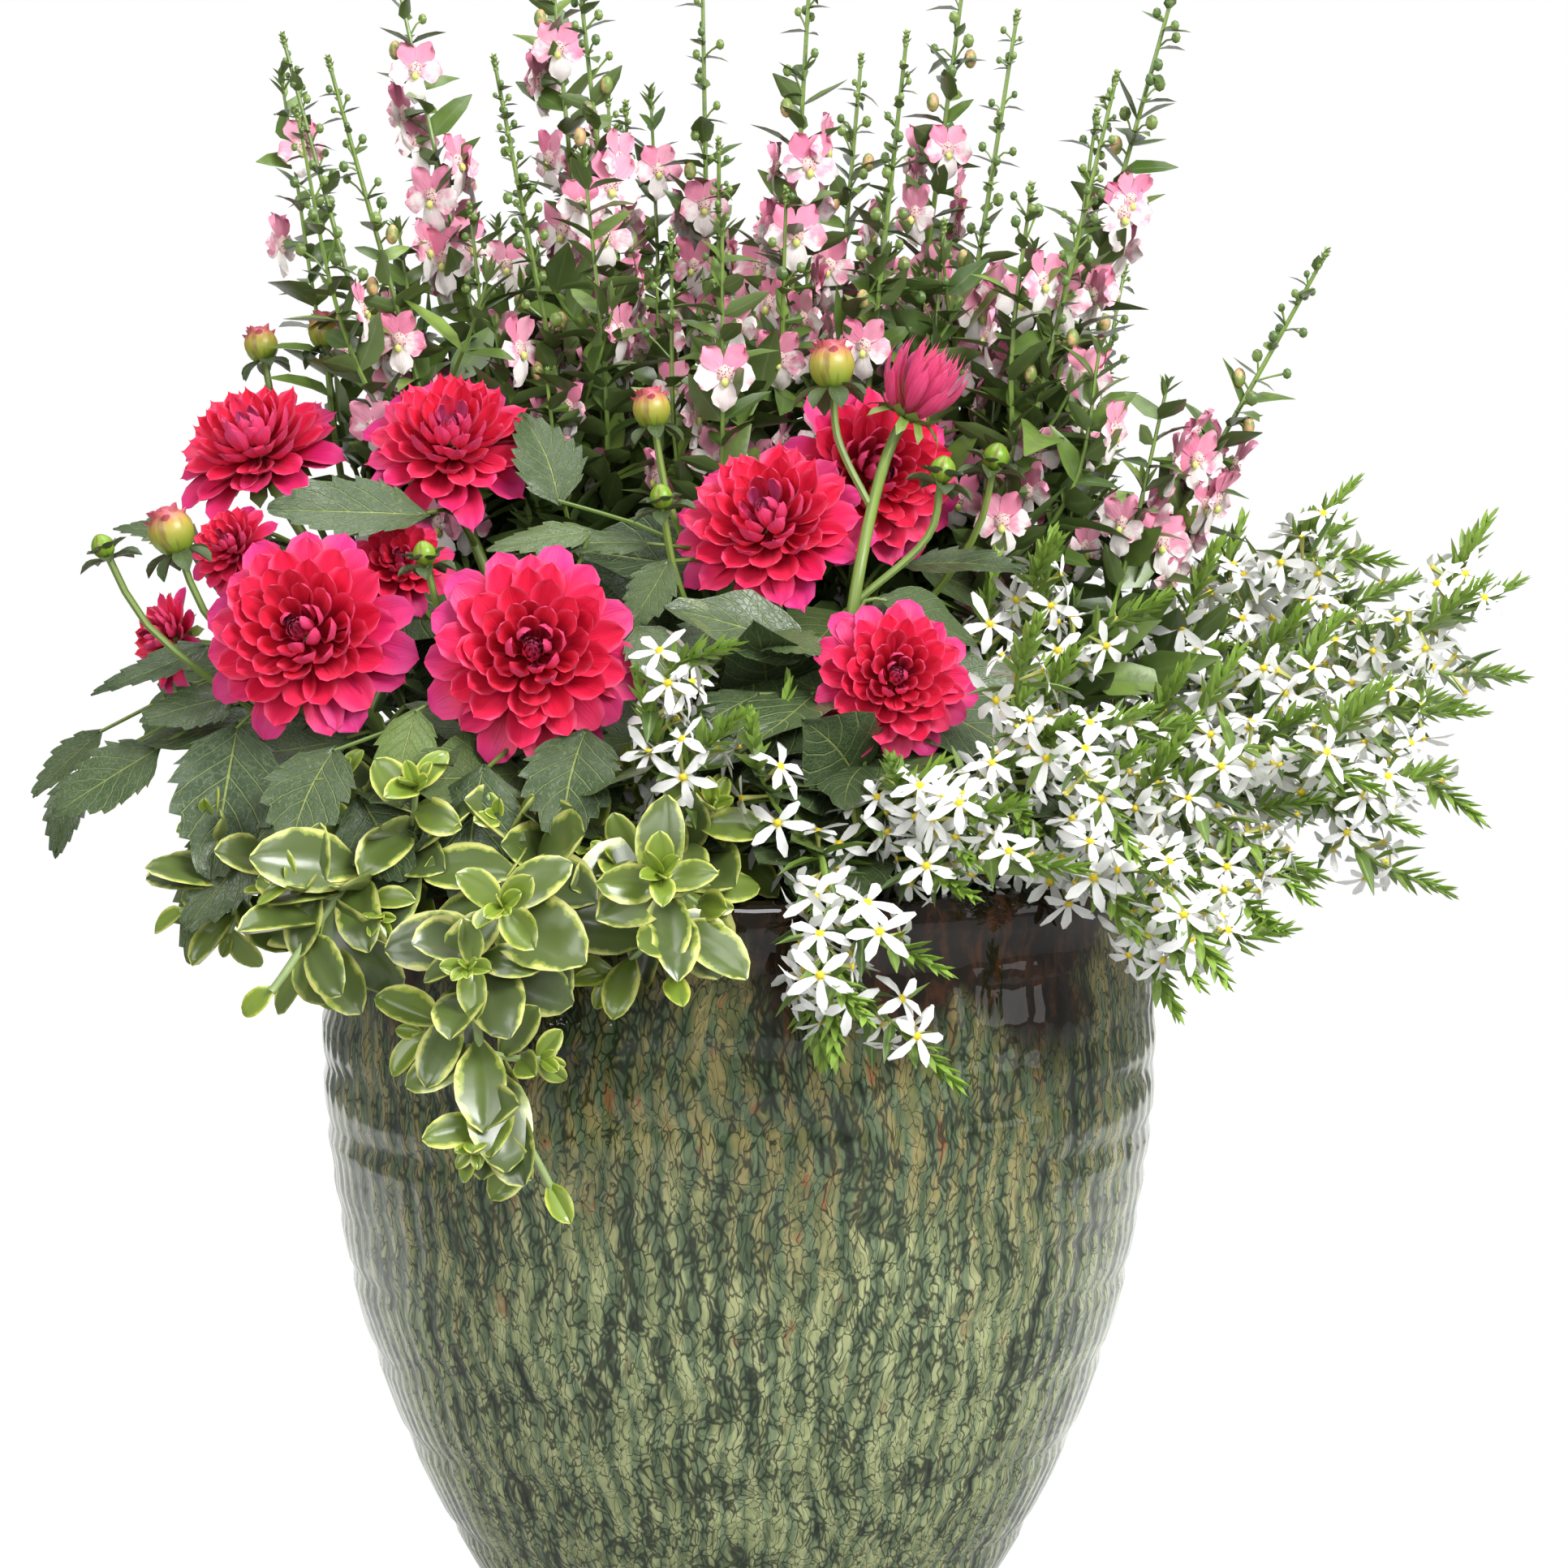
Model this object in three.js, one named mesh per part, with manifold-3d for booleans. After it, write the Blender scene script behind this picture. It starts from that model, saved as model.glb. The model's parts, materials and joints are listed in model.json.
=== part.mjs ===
import * as THREE from "three";
import { mergeVertices } from "three/addons/utils/BufferGeometryUtils.js";
import Module from "manifold-3d";

// A glazed pot planted with dahlias at the front and left, a hedge of tall angelonia spikes behind them,
// fan flowers spilling over the right side and a variegated ice plant trailing over the front left.
// Millimetres, +Z up, -Y is the front, and the origin is the centre of the pot's foot.

const wasm = await Module();
wasm.setup();

// Driving dimensions of the pot and its soil.
const POT_HEIGHT = 378;
const POT_OUTLINE = [[0, 96], [22, 107], [46, 124], [99, 152], [171, 178], [248, 191.5], [303, 194], [352, 191]];
const POT_LIP = [[362, 193], [372, 194.5], [POT_HEIGHT, 191], [POT_HEIGHT, 184]];
const POT_WALL = 12;
const POT_FLOOR = 16;
const POT_SIDES = 30;
const DRAIN_RADIUS = 8;
const DRAIN_CIRCLE = 48;
const SOIL_TOP = 345;
const ROOT_DEPTH = 24;
const CLEARANCE = 0.35;

// Stem radii and the sizes of what the stems carry.
const DAHLIA_STEM = 2.6;
const DAHLIA_TWIG = 1.7;
const ANGELONIA_STEM = 1.9;
const FAN_STEM = 1.7;
const ICE_STEM = 2.2;
const BLADE = 2;
const ROOT_SUNK = 0.3;

// Each dahlia stem leaves the soil at base and carries the bloom of the same number. A branch leaves the
// stem at a share of its length, and carries a bud, an opening bud or another bloom.
const DAHLIAS = [
  {
    base: [-104, -20],
    bloom: { at: [-219, -20, 564], faces: [-0.25, -0.6, 0.76], radius: 39 },
    branches: [
      { from: 0.5, at: [-223, 32, 607], bud: 8 },
      { from: 0.6, at: [-194, 36, 613], bud: 8.5 },
      { from: 0.35, at: [-226, -52, 521], bloom: { faces: [-0.3, -0.8, 0.5], radius: 23, small: true } },
    ],
  },
  {
    base: [-62, -48],
    bloom: { at: [-127, -60, 566], faces: [0.05, -0.75, 0.66], radius: 40 },
    branches: [{ from: 0.4, at: [-148, -84, 514], bloom: { faces: [0.1, -0.9, 0.4], radius: 25, small: true } }],
  },
  {
    base: [-112, -82],
    bloom: { at: [-182, -140, 485], faces: [-0.14, -0.95, 0.26], radius: 46 },
    branches: [
      { from: 0.42, at: [-241, -112, 521], bud: 10 },
      { from: 0.34, at: [-270, -122, 519], bud: 5 },
      { from: 0.22, at: [-252, -66, 480], bloom: { faces: [-0.75, -0.5, 0.1], radius: 25, small: true } },
    ],
  },
  {
    base: [-52, -112],
    bloom: { at: [-85, -160, 478], faces: [0.08, -0.96, 0.22], radius: 46 },
    branches: [{ from: 0.5, at: [-131, -140, 516], bud: 5 }],
  },
  {
    base: [8, -62],
    bloom: { at: [15, -110, 531], faces: [-0.16, -0.82, 0.52], radius: 42 },
    branches: [
      { from: 0.5, at: [-36, -86, 575], bud: 8.5 },
      { from: 0.4, at: [-31, -128, 540], bud: 5 },
    ],
  },
  { base: [52, -118], bloom: { at: [67, -152, 467], faces: [0.12, -0.96, 0.22], radius: 35 }, branches: [] },
  {
    base: [58, -22],
    bloom: { at: [60, -48, 553], faces: [0.3, -0.88, 0.1], radius: 42 },
    branches: [{ from: 0.5, at: [114, -62, 556], bud: 6 }],
  },
  {
    base: [34, -88],
    way: [52, -136, 508],
    bloom: { at: [76, -97, 583], faces: [0.45, -0.2, 0.86], radius: 22, cupped: true },
    branches: [
      { from: 0.8, at: [42, -108, 592], bud: 10 },
      { from: 0.62, at: [88, -124, 551], bud: 5.5 },
    ],
  },
  { base: [-84, 66], bloom: { at: [-150, 92, 541], faces: [-0.5, 0.45, 0.72], radius: 40 }, branches: [] },
];

// The large leaves that show: the stem that carries each, its base and tip, and its width.
const DAHLIA_LEAVES = [
  [2, [-230, -95, 480], [-280, -117, 464], 20],
  [2, [-218, -108, 458], [-256, -128, 452], 28],
  [2, [-250, -112, 436], [-297, -126, 412], 34],
  [2, [-214, -128, 448], [-222, -168, 388], 44],
  [3, [-168, -160, 440], [-185, -192, 398], 34],
  [2, [-158, -166, 420], [-136, -196, 390], 34],
  [2, [-194, -148, 410], [-236, -166, 366], 27],
  [2, [-290, -84, 424], [-302, -94, 386], 18],
  [0, [-284, -62, 440], [-314, -80, 414], 18],
  [0, [-228, -100, 402], [-238, -130, 346], 28],
  [3, [-104, -180, 444], [-106, -206, 388], 40],
  [1, [-134, -92, 536], [-200, -116, 546], 30],
  [4, [-78, -82, 540], [-96, -62, 584], 30],
  [3, [-60, -128, 530], [-106, -138, 526], 20],
  [4, [-36, -112, 524], [-92, -142, 526], 20],
  [4, [-28, -124, 518], [-48, -142, 490], 20],
  [3, [-42, -148, 490], [-22, -168, 466], 24],
  [4, [-2, -122, 492], [-28, -152, 468], 28],
  [5, [14, -140, 486], [34, -168, 482], 24],
  [5, [12, -148, 462], [-26, -178, 444], 26],
  [3, [-134, -160, 456], [-142, -188, 424], 24],
  [6, [72, -96, 514], [122, -134, 518], 20],
  [0, [-242, -44, 534], [-284, -34, 546], 22],
  [3, [-62, -172, 448], [-70, -204, 404], 38],
  [0, [-196, 40, 520], [-238, 62, 500], 34],
  [8, [-170, 60, 470], [-222, 96, 440], 38],
  [8, [-110, 120, 480], [-130, 166, 446], 38],
  [0, [-232, 10, 470], [-286, 20, 430], 36],
];

// Each angelonia spike: where it leaves the soil, its tip, and the stretch that is in flower, as shares of
// its length with a number of flowers.
const ANGELONIAS = [
  { base: [-116, 34], tip: [-211, 20, 755], bloom: [0.62, 0.66, 0] },
  { base: [-92, 6], tip: [-184, -30, 739], bloom: [0.42, 0.72, 3] },
  { base: [-74, 30], tip: [-160, 40, 784], bloom: [0.66, 0.9, 3] },
  { base: [-44, -4], tip: [-110, -24, 740], bloom: [0.58, 0.62, 0] },
  { base: [-52, 62], tip: [-89, 60, 792], bloom: [0.68, 0.92, 3] },
  { base: [-32, 26], tip: [-75, 10, 796], bloom: [0.55, 0.78, 4] },
  { base: [-12, 62], tip: [-18, 70, 792], bloom: [0.6, 0.76, 3] },
  { base: [-10, -14], tip: [-8, -60, 700], bloom: [0.32, 0.62, 3] },
  { base: [10, 20], tip: [33, 0, 788], bloom: [0.55, 0.82, 4] },
  { base: [26, 78], tip: [58, 90, 753], bloom: [0.6, 0.8, 2] },
  { base: [38, 8], tip: [76, -30, 750], bloom: [0.4, 0.68, 3] },
  { base: [54, 46], tip: [107, 60, 796], bloom: [0.62, 0.82, 3] },
  { base: [70, 14], tip: [129, 26, 766], bloom: [0.45, 0.7, 4] },
  { base: [90, -18], tip: [171, -24, 733], bloom: [0.34, 0.56, 3] },
  { base: [96, 18], tip: [204, 20, 788], bloom: [0.45, 0.78, 4] },
  { base: [116, -8], tip: [270, 0, 655], bloom: [0.5, 0.72, 4] },
  { base: [-64, 104], tip: [-112, 150, 700], bloom: [0.5, 0.8, 3] },
  { base: [98, 84], tip: [182, 130, 668], bloom: [0.5, 0.8, 3] },
];

// Each fan flower shoot: where it leaves the soil, its tip, and how far it bows above the straight line.
const FAN_SHOOTS = [
  { base: [128, 30], tip: [286, 20, 548], bow: 10 },
  { base: [138, 58], tip: [322, 62, 503], bow: 30 },
  { base: [150, 4], tip: [355, -20, 503], bow: 18 },
  { base: [146, -30], tip: [330, -62, 447], bow: 40 },
  { base: [138, -60], tip: [293, -112, 400], bow: 48 },
  { base: [122, -88], tip: [242, -152, 375], bow: 50 },
  { base: [104, -112], tip: [191, -194, 345], bow: 52 },
  { base: [30, -150], tip: [42, -226, 320], bow: 66 },
  { base: [-4, -138], tip: [-42, -192, 475], bow: 0 },
  { base: [72, -140], tip: [96, -222, 398], bow: 40 },
  { base: [100, -80], tip: [140, -190, 452], bow: 26 },
  { base: [110, -42], tip: [140, -74, 520], bow: 8 },
  { base: [112, 96], tip: [232, 176, 446], bow: 60 },
];

// Each ice plant shoot: where it leaves the soil, the points it passes over the lip, its tip, and its pairs of leaves.
const ICE_SHOOTS = [
  { base: [-118, -96], over: [[-138, -112, 386], [-182, -138, 396]], tip: [-236, -152, 368], pairs: 3 },
  { base: [-96, -112], over: [[-112, -132, 388], [-150, -178, 394]], tip: [-190, -208, 342], pairs: 4 },
  { base: [-66, -128], over: [[-72, -150, 390], [-92, -206, 386], [-104, -226, 330]], tip: [-74, -222, 262], pairs: 6 },
  { base: [-22, -136], over: [[-24, -158, 390], [-28, -206, 388]], tip: [-24, -228, 350], pairs: 3 },
];

const UP = new THREE.Vector3(0, 0, 1);
const point = ([x, y, z]) => new THREE.Vector3(x, y, z);
const chance = (seed) => {
  const wave = Math.sin(seed * 127.1 + 311.7) * 43758.5453;
  return wave - Math.floor(wave);
};

// A closed three.js geometry as a solid, after a matrix.
function solidOf(geometry, matrix = new THREE.Matrix4()) {
  const flat = geometry.index ? geometry.toNonIndexed() : geometry.clone();
  flat.deleteAttribute("normal");
  flat.deleteAttribute("uv");
  const merged = mergeVertices(flat.applyMatrix4(matrix), 1e-3);
  return new wasm.Manifold(
    new wasm.Mesh({
      numProp: 3,
      vertProperties: merged.attributes.position.array,
      triVerts: new Uint32Array(merged.index.array),
    }),
  );
}

// A solid as a three.js geometry for a mesh.
function geometryOf(solid) {
  const mesh = solid.getMesh();
  const geometry = new THREE.BufferGeometry();
  const positions = new Float32Array(mesh.numVert * 3);
  for (let i = 0; i < mesh.numVert; i++) {
    positions.set(mesh.vertProperties.subarray(i * mesh.numProp, i * mesh.numProp + 3), i * 3);
  }
  geometry.setAttribute("position", new THREE.BufferAttribute(positions, 3));
  geometry.setIndex(new THREE.BufferAttribute(mesh.triVerts, 1));
  geometry.computeVertexNormals();
  return geometry;
}

// A stem: a small polygon swept along a smooth curve.
function stemSolid(curve, radius, sides = 5, steps = 8) {
  const section = new THREE.Shape();
  for (let i = 0; i < sides; i++) {
    const turn = (i / sides) * Math.PI * 2;
    section[i ? "lineTo" : "moveTo"](radius * Math.cos(turn), radius * Math.sin(turn));
  }
  return solidOf(new THREE.ExtrudeGeometry(section, { steps, extrudePath: curve, bevelEnabled: false }));
}

// A closed surface through loops of points, each with its turn, from one end point to the other.
function loopSurface(bottom, loops, top) {
  const points = [bottom];
  const starts = loops.map((loop) => points.push(...loop.map(({ at }) => at)) - loop.length);
  const last = points.push(top) - 1;
  const index = (k, n) => starts[k] + (n % loops[k].length);
  const turnOf = (loop, n) => loop[n % loop.length].turn + Math.floor(n / loop.length) * 2 * Math.PI;
  const faces = loops[0].flatMap((_, i) => [0, index(0, i + 1), index(0, i)]);
  for (let k = 0; k + 1 < loops.length; k++) {
    const [lower, upper] = [loops[k], loops[k + 1]];
    let [i, j] = [0, 0];
    while (i < lower.length || j < upper.length) {
      const lowerIsNext = i < lower.length && turnOf(lower, i + 1) < turnOf(upper, j + 1) - 1e-6;
      if (lowerIsNext || j >= upper.length) {
        faces.push(index(k, i), index(k, i + 1), index(k + 1, j));
        i += 1;
      } else {
        faces.push(index(k, i), index(k + 1, j + 1), index(k + 1, j));
        j += 1;
      }
    }
  }
  const end = loops.length - 1;
  faces.push(...loops[end].flatMap((_, i) => [index(end, i), index(end, i + 1), last]));
  return surface(points, faces);
}

function surface(points, faces) {
  const geometry = new THREE.BufferGeometry();
  geometry.setAttribute("position", new THREE.Float32BufferAttribute(points.flatMap((p) => [p.x, p.y, p.z]), 3));
  geometry.setIndex(faces);
  return geometry;
}

// One side of each leaf's outline, as shares of its width and length from the root to the tip.
const TOOTHED_SIDE = [[0.4, 0.1], [0.5, 0.36], [0.38, 0.41], [0.4, 0.66], [0.26, 0.7]];
const NARROW_SIDE = [[0.5, 0.4]];
const OVAL_SIDE = [[0.46, 0.34], [0.42, 0.76]];

// A leaf along +Y with its face to +Z. It arches down towards its tip, its sides are cupped up, and it is
// thickest at its middle. A leaf with one point a side is flat behind, and the others are raised on both faces.
function leafGeometry(side, length, width, { arch = 0, cup = 0, thickness = BLADE } = {}) {
  const bend = (x, y) => new THREE.Vector3(x * width, y * length, cup * Math.abs(x) * width - arch * y * y * length);
  const right = side.map(([x, y]) => bend(x, y));
  const left = side.map(([x, y]) => bend(-x, y));
  const rim = [bend(0, 0), ...right, bend(0, 1), ...left.toReversed()];
  const middle = bend(0, 0.45);
  const count = rim.length;
  const upper = rim.flatMap((_, i) => [i, (i + 1) % count, count]);
  if (side.length === 1) {
    const above = middle.clone().setZ(middle.z + thickness);
    return surface([...rim, above], [...upper, 3, 1, 0, 3, 2, 1]);
  }
  const above = middle.clone().setZ(middle.z + thickness / 2);
  const below = middle.clone().setZ(middle.z - thickness / 2);
  const lower = rim.flatMap((_, i) => [(i + 1) % count, i, count + 1]);
  return surface([...rim, above, below], [...upper, ...lower]);
}

// Half the lobes of an angelonia flower and of a fan flower, and the notches between: direction in degrees
// from the lowest lobe up, and reach.
const ANGELONIA_LOBES = [[-90, 1], [-50, 0.5], [-8, 0.84], [24, 0.5], [58, 0.9], [90, 0.55]];
const FAN_LOBES = [[-90, 1], [-60, 0.34], [-28, 1], [2, 0.34], [38, 0.95], [90, 0.2]];

// A flower on a thin tube along +Y, with its face to +Y and its upper side to +Z.
function flowerGeometry(lobes, reach, tube) {
  const rimPoint = ([degrees, share], mirrored) => {
    const turn = THREE.MathUtils.degToRad(mirrored ? 180 - degrees : degrees);
    const lift = share > 0.5 ? reach * 0.15 : 0;
    return { turn, at: new THREE.Vector3(Math.cos(turn) * reach * share, Math.sin(turn) * reach * share, lift) };
  };
  const rim = [
    ...lobes.map((lobe) => rimPoint(lobe, false)),
    ...lobes.slice(1, -1).map((lobe) => rimPoint(lobe, true)).reverse(),
  ];
  const throat = [-90, 30, 150].map((degrees) => {
    const turn = THREE.MathUtils.degToRad(degrees);
    return { turn, at: new THREE.Vector3(Math.cos(turn) * 1.6, Math.sin(turn) * 1.6, -3) };
  });
  const flower = loopSurface(new THREE.Vector3(0, 0, -tube), [throat, rim], new THREE.Vector3(0, 0, 0.8));
  return flower.rotateX(-Math.PI / 2).rotateY(Math.PI).translate(0, tube, 0);
}

// The matrix that puts a blade's root at a point, its length along one direction and its face to another.
function placed(root, along, face) {
  const y = along.clone().normalize();
  const x = new THREE.Vector3().crossVectors(y, face).normalize();
  const z = new THREE.Vector3().crossVectors(x, y);
  return new THREE.Matrix4().makeBasis(x, y, z).setPosition(root);
}

// Everything placed so far. A new piece has to stand clear of all of it but the stem that it grows from.
const standing = [];

function boxesMeet(a, b) {
  return [0, 1, 2].every((k) => a.min[k] <= b.max[k] && b.min[k] <= a.max[k]);
}

function stand(owner, solid, isStem) {
  standing.push({ owner, solid, isStem, box: solid.boundingBox() });
  owner.pieces.push(solid);
}

function isClear(owner, solid) {
  const box = solid.boundingBox();
  return standing.every(
    (other) =>
      (other.owner === owner && other.isStem) ||
      !boxesMeet(box, other.box) ||
      solid.intersect(other.solid).volume() < 1e-7,
  );
}

// Tries a piece at several turns and keeps the first that is clear and meets its own stem.
function growClear(owner, turns, make) {
  for (const turn of turns) {
    const solid = make(turn);
    const meetsStem = owner.pieces.some((stem) => solid.intersect(stem).volume() > 0.01);
    if (meetsStem && isClear(owner, solid)) {
      stand(owner, solid, false);
      return true;
    }
  }
  return false;
}

const nodes = [];
function newNode(name, material) {
  const node = { name, material, pieces: [] };
  nodes.push(node);
  return node;
}

const MATERIALS = {
  pot: new THREE.MeshStandardMaterial({ color: 0x5b6b4c, roughness: 0.12, metalness: 0 }),
  soil: new THREE.MeshStandardMaterial({ color: 0x2b2019, roughness: 1, metalness: 0 }),
  petal: new THREE.MeshStandardMaterial({ color: 0xd01c48, roughness: 0.5, metalness: 0 }),
  dahliaLeaf: new THREE.MeshStandardMaterial({ color: 0x2f4a33, roughness: 0.5, metalness: 0 }),
  angelonia: new THREE.MeshStandardMaterial({ color: 0x3d5a2c, roughness: 0.45, metalness: 0 }),
  fan: new THREE.MeshStandardMaterial({ color: 0x6c9440, roughness: 0.5, metalness: 0 }),
  ice: new THREE.MeshStandardMaterial({ color: 0x7d9a3c, roughness: 0.35, metalness: 0 }),
};

// The pot's outside radius at a height, from its outline.
const outline = new THREE.SplineCurve(POT_OUTLINE.map(([z, r]) => new THREE.Vector2(r, z)));
const outlinePoints = outline.getPoints(70);
function potRadius(z) {
  const above = outlinePoints.findIndex((p) => p.y >= z);
  if (above < 0) return outlinePoints.at(-1).x;
  if (above === 0) return outlinePoints[0].x;
  const [low, high] = [outlinePoints[above - 1], outlinePoints[above]];
  return low.x + ((high.x - low.x) * (z - low.y)) / (high.y - low.y);
}

// The soil's outline and the pot's inside share their heights, so that a thin gap stays all round.
const INSIDE_HEIGHTS = [POT_FLOOR, 152, SOIL_TOP];

function potSolid() {
  const outside = outline.getPoints(8);
  const lip = POT_LIP.map(([z, r]) => new THREE.Vector2(r, z));
  const inside = [...INSIDE_HEIGHTS].reverse().map((z) => new THREE.Vector2(potRadius(z) - POT_WALL, z));
  const middle = [new THREE.Vector2(0, POT_FLOOR), new THREE.Vector2(0, 0)];
  const profile = [...outside, ...lip, ...inside, ...middle, outside[0]];
  const shell = solidOf(new THREE.LatheGeometry(profile, POT_SIDES).rotateX(Math.PI / 2));
  const drains = [90, 210, 330].map((degrees) => {
    const turn = THREE.MathUtils.degToRad(degrees);
    const drain = new THREE.CylinderGeometry(DRAIN_RADIUS, DRAIN_RADIUS, 3 * POT_FLOOR, 8).rotateX(Math.PI / 2);
    return solidOf(drain.translate(Math.cos(turn) * DRAIN_CIRCLE, Math.sin(turn) * DRAIN_CIRCLE, 0));
  });
  return drains.reduce((body, drain) => body.subtract(drain), shell);
}

function soilGeometry() {
  const heights = INSIDE_HEIGHTS.map((z, i) => (i === 0 ? z + CLEARANCE : z));
  const side = heights.map((z, i) => new THREE.Vector2(potRadius(INSIDE_HEIGHTS[i]) - POT_WALL - CLEARANCE, z));
  const profile = [new THREE.Vector2(0, heights[0]), ...side, new THREE.Vector2(0, SOIL_TOP)];
  return new THREE.LatheGeometry(profile, POT_SIDES).rotateX(Math.PI / 2);
}

// The pot and soil come first, and each stem then gets its own plain hole in the soil.
const pot = newNode("pot", MATERIALS.pot);
stand(pot, potSolid(), false);
const soil = newNode("soil", MATERIALS.soil);
let soilSolid = solidOf(soilGeometry());

function rootHole(base, radius, sides) {
  const foot = new THREE.Vector3(base[0], base[1], SOIL_TOP - ROOT_DEPTH - CLEARANCE);
  const mouth = new THREE.Vector3(base[0], base[1], SOIL_TOP + 5);
  soilSolid = soilSolid.subtract(stemSolid(new THREE.LineCurve3(foot, mouth), radius + 2.5 * CLEARANCE, sides, 1));
}

// A stem's path. Its first step is the straight root in the soil, and the others lie along a smooth curve,
// which can end square to a direction.
class StemPath extends THREE.Curve {
  constructor(base, way, steps, end) {
    super();
    this.root = [SOIL_TOP - ROOT_DEPTH, SOIL_TOP + 2].map((z) => new THREE.Vector3(base[0], base[1], z));
    this.above = new THREE.CatmullRomCurve3([this.root[1], ...way]);
    this.steps = steps;
    this.end = end;
  }

  getPointAt(share) {
    const step = share * this.steps;
    if (step <= 1) return this.root[0].clone().lerp(this.root[1], step);
    return this.above.getPointAt(Math.min(1, (step - 1) / (this.steps - 1)));
  }

  getTangentAt(share) {
    const step = share * this.steps;
    if (step <= 1 + 1e-9) return UP.clone();
    if (this.end && share === 1) return this.end.clone();
    return this.above.getTangentAt(Math.min(1, (step - 1) / (this.steps - 1)));
  }

  // The middle and direction of the faceted stem at a share of its length above the soil.
  facet(share) {
    const step = Math.min(1 + share * (this.steps - 1), this.steps - 1e-6);
    const whole = Math.floor(step);
    const [from, to] = [whole, whole + 1].map((i) => this.getPointAt(i / this.steps));
    return { at: from.clone().lerp(to, step - whole), along: to.sub(from).normalize() };
  }
}

// A dahlia bloom is rings of petals, each shorter and steeper than the one behind it, with a narrow neck
// above each. Radius and height of the tips, the shoulders, the valleys between petals and the neck are
// shares of the bloom's radius.
const FULL_RINGS = [
  { tip: [1, -0.16], shoulder: [0.76, -0.06], valley: [0.42, -0.02], neck: [0.28, 0.05] },
  { tip: [0.84, 0.12], shoulder: [0.63, 0.12], valley: [0.36, 0.09], neck: [0.24, 0.17] },
  { tip: [0.66, 0.38], shoulder: [0.5, 0.29], valley: [0.3, 0.2], neck: [0.18, 0.26] },
  { tip: [0.4, 0.56], shoulder: [0.32, 0.42], valley: [0.22, 0.3], neck: [0, 0.42] },
];
const CUPPED_RINGS = [
  { tip: [0.98, 0.55], shoulder: [0.92, 0.2], valley: [0.55, 0], neck: [0.34, 0.14] },
  { tip: [0.64, 1], shoulder: [0.66, 0.62], valley: [0.42, 0.28], neck: [0.22, 0.36] },
  { tip: [0.32, 1.2], shoulder: [0.36, 0.85], valley: [0.22, 0.5], neck: [0, 0.9] },
];
const CALYX = [0.2, -0.22];
const SHOULDER_TURN = 0.42;
const TIP_TURN = 0.15;

function bloomGeometry(radius, rings, petals) {
  const pitch = (2 * Math.PI) / petals;
  const around = (shares, turn) => {
    const [r, z] = shares.map((share) => share * radius);
    return { turn, at: new THREE.Vector3(Math.cos(turn) * r, Math.sin(turn) * r, z) };
  };
  const circle = (shares, shift) => Array.from({ length: petals }, (_, i) => around(shares, (i + shift) * pitch));
  const loops = [circle(CALYX, 0)];
  rings.forEach(({ tip, shoulder, valley, neck }, number) => {
    const shift = (number % 2) / 2;
    const petalRing = Array.from({ length: petals }, (_, i) => [
      around(valley, (i + shift - 0.5) * pitch),
      around(shoulder, (i + shift - SHOULDER_TURN) * pitch),
      around(tip, (i + shift - TIP_TURN) * pitch),
      around(tip, (i + shift + TIP_TURN) * pitch),
      around(shoulder, (i + shift + SHOULDER_TURN) * pitch),
    ]);
    loops.push(petalRing.flat());
    if (number < rings.length - 1) loops.push(circle(neck, shift));
  });
  const back = new THREE.Vector3(0, 0, CALYX[1] * radius);
  return loopSurface(back, loops, new THREE.Vector3(0, 0, rings.at(-1).neck[1] * radius));
}

function growBloom(name, at, { faces, radius, small = false, cupped = false }) {
  const node = newNode(name, MATERIALS.petal);
  const axis = point(faces).normalize();
  const side = new THREE.Vector3().crossVectors(axis, new THREE.Vector3(1, 0, 0));
  const petals = cupped || small ? 7 : 9;
  const chosen = cupped ? CUPPED_RINGS : FULL_RINGS.slice(small ? 1 : 0);
  stand(node, solidOf(bloomGeometry(radius, chosen, petals), placed(point(at), side, axis)), false);
}

// A stem reaches the back of its bloom and stops a hair short of it.
function bloomSeat({ at, faces, radius }) {
  const axis = point(faces).normalize();
  const seat = point(at).addScaledVector(axis, CALYX[1] * radius - CLEARANCE);
  return { axis, seat, behind: seat.clone().addScaledVector(axis, -14) };
}

// A bud is a faceted ball, and three sepals stand out under a large one.
const LARGE_BUD = 7;

function growBud(owner, at, size, along, seed) {
  const matrix = placed(at, along, new THREE.Vector3(0.3, 1, 0.2));
  const ball = new THREE.SphereGeometry(size, 5, 3).scale(1, 1.15, 1).translate(0, size * 0.85, 0);
  stand(owner, solidOf(ball, matrix), true);
  if (size < LARGE_BUD) return;
  for (let i = 0; i < 3; i++) {
    const turn = (i / 3 + chance(seed)) * Math.PI * 2;
    const out = new THREE.Vector3(Math.cos(turn), -0.55, Math.sin(turn)).transformDirection(matrix);
    growClear(owner, [0, 0.5, -0.5], (tilt) => {
      const aim = out.clone().applyAxisAngle(along, tilt);
      return solidOf(leafGeometry(NARROW_SIDE, size * 1.8, size * 0.9), placed(at.clone(), aim, along));
    });
  }
}

const DAHLIA_STEPS = 7;
DAHLIAS.forEach((plant, number) => {
  const node = newNode(`dahlia_stem_${number + 1}`, MATERIALS.dahliaLeaf);
  const [x, y] = plant.base;
  const { axis, seat, behind } = bloomSeat(plant.bloom);
  const foot = new THREE.Vector3(x, y, SOIL_TOP);
  const middle = plant.way ? point(plant.way) : foot.clone().lerp(behind, 0.55).add(new THREE.Vector3(0, 0, 10));
  const path = new StemPath(plant.base, [middle, behind, seat], DAHLIA_STEPS, axis);
  Object.assign(plant, { path, node });
  rootHole(plant.base, DAHLIA_STEM, 5);
  stand(node, stemSolid(path, DAHLIA_STEM, 5, DAHLIA_STEPS), true);
  growBloom(`dahlia_bloom_${number + 1}`, plant.bloom.at, plant.bloom);
  plant.branches.forEach((branch, branchNumber) => growBranch(plant, branch, number, branchNumber));
});

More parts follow.
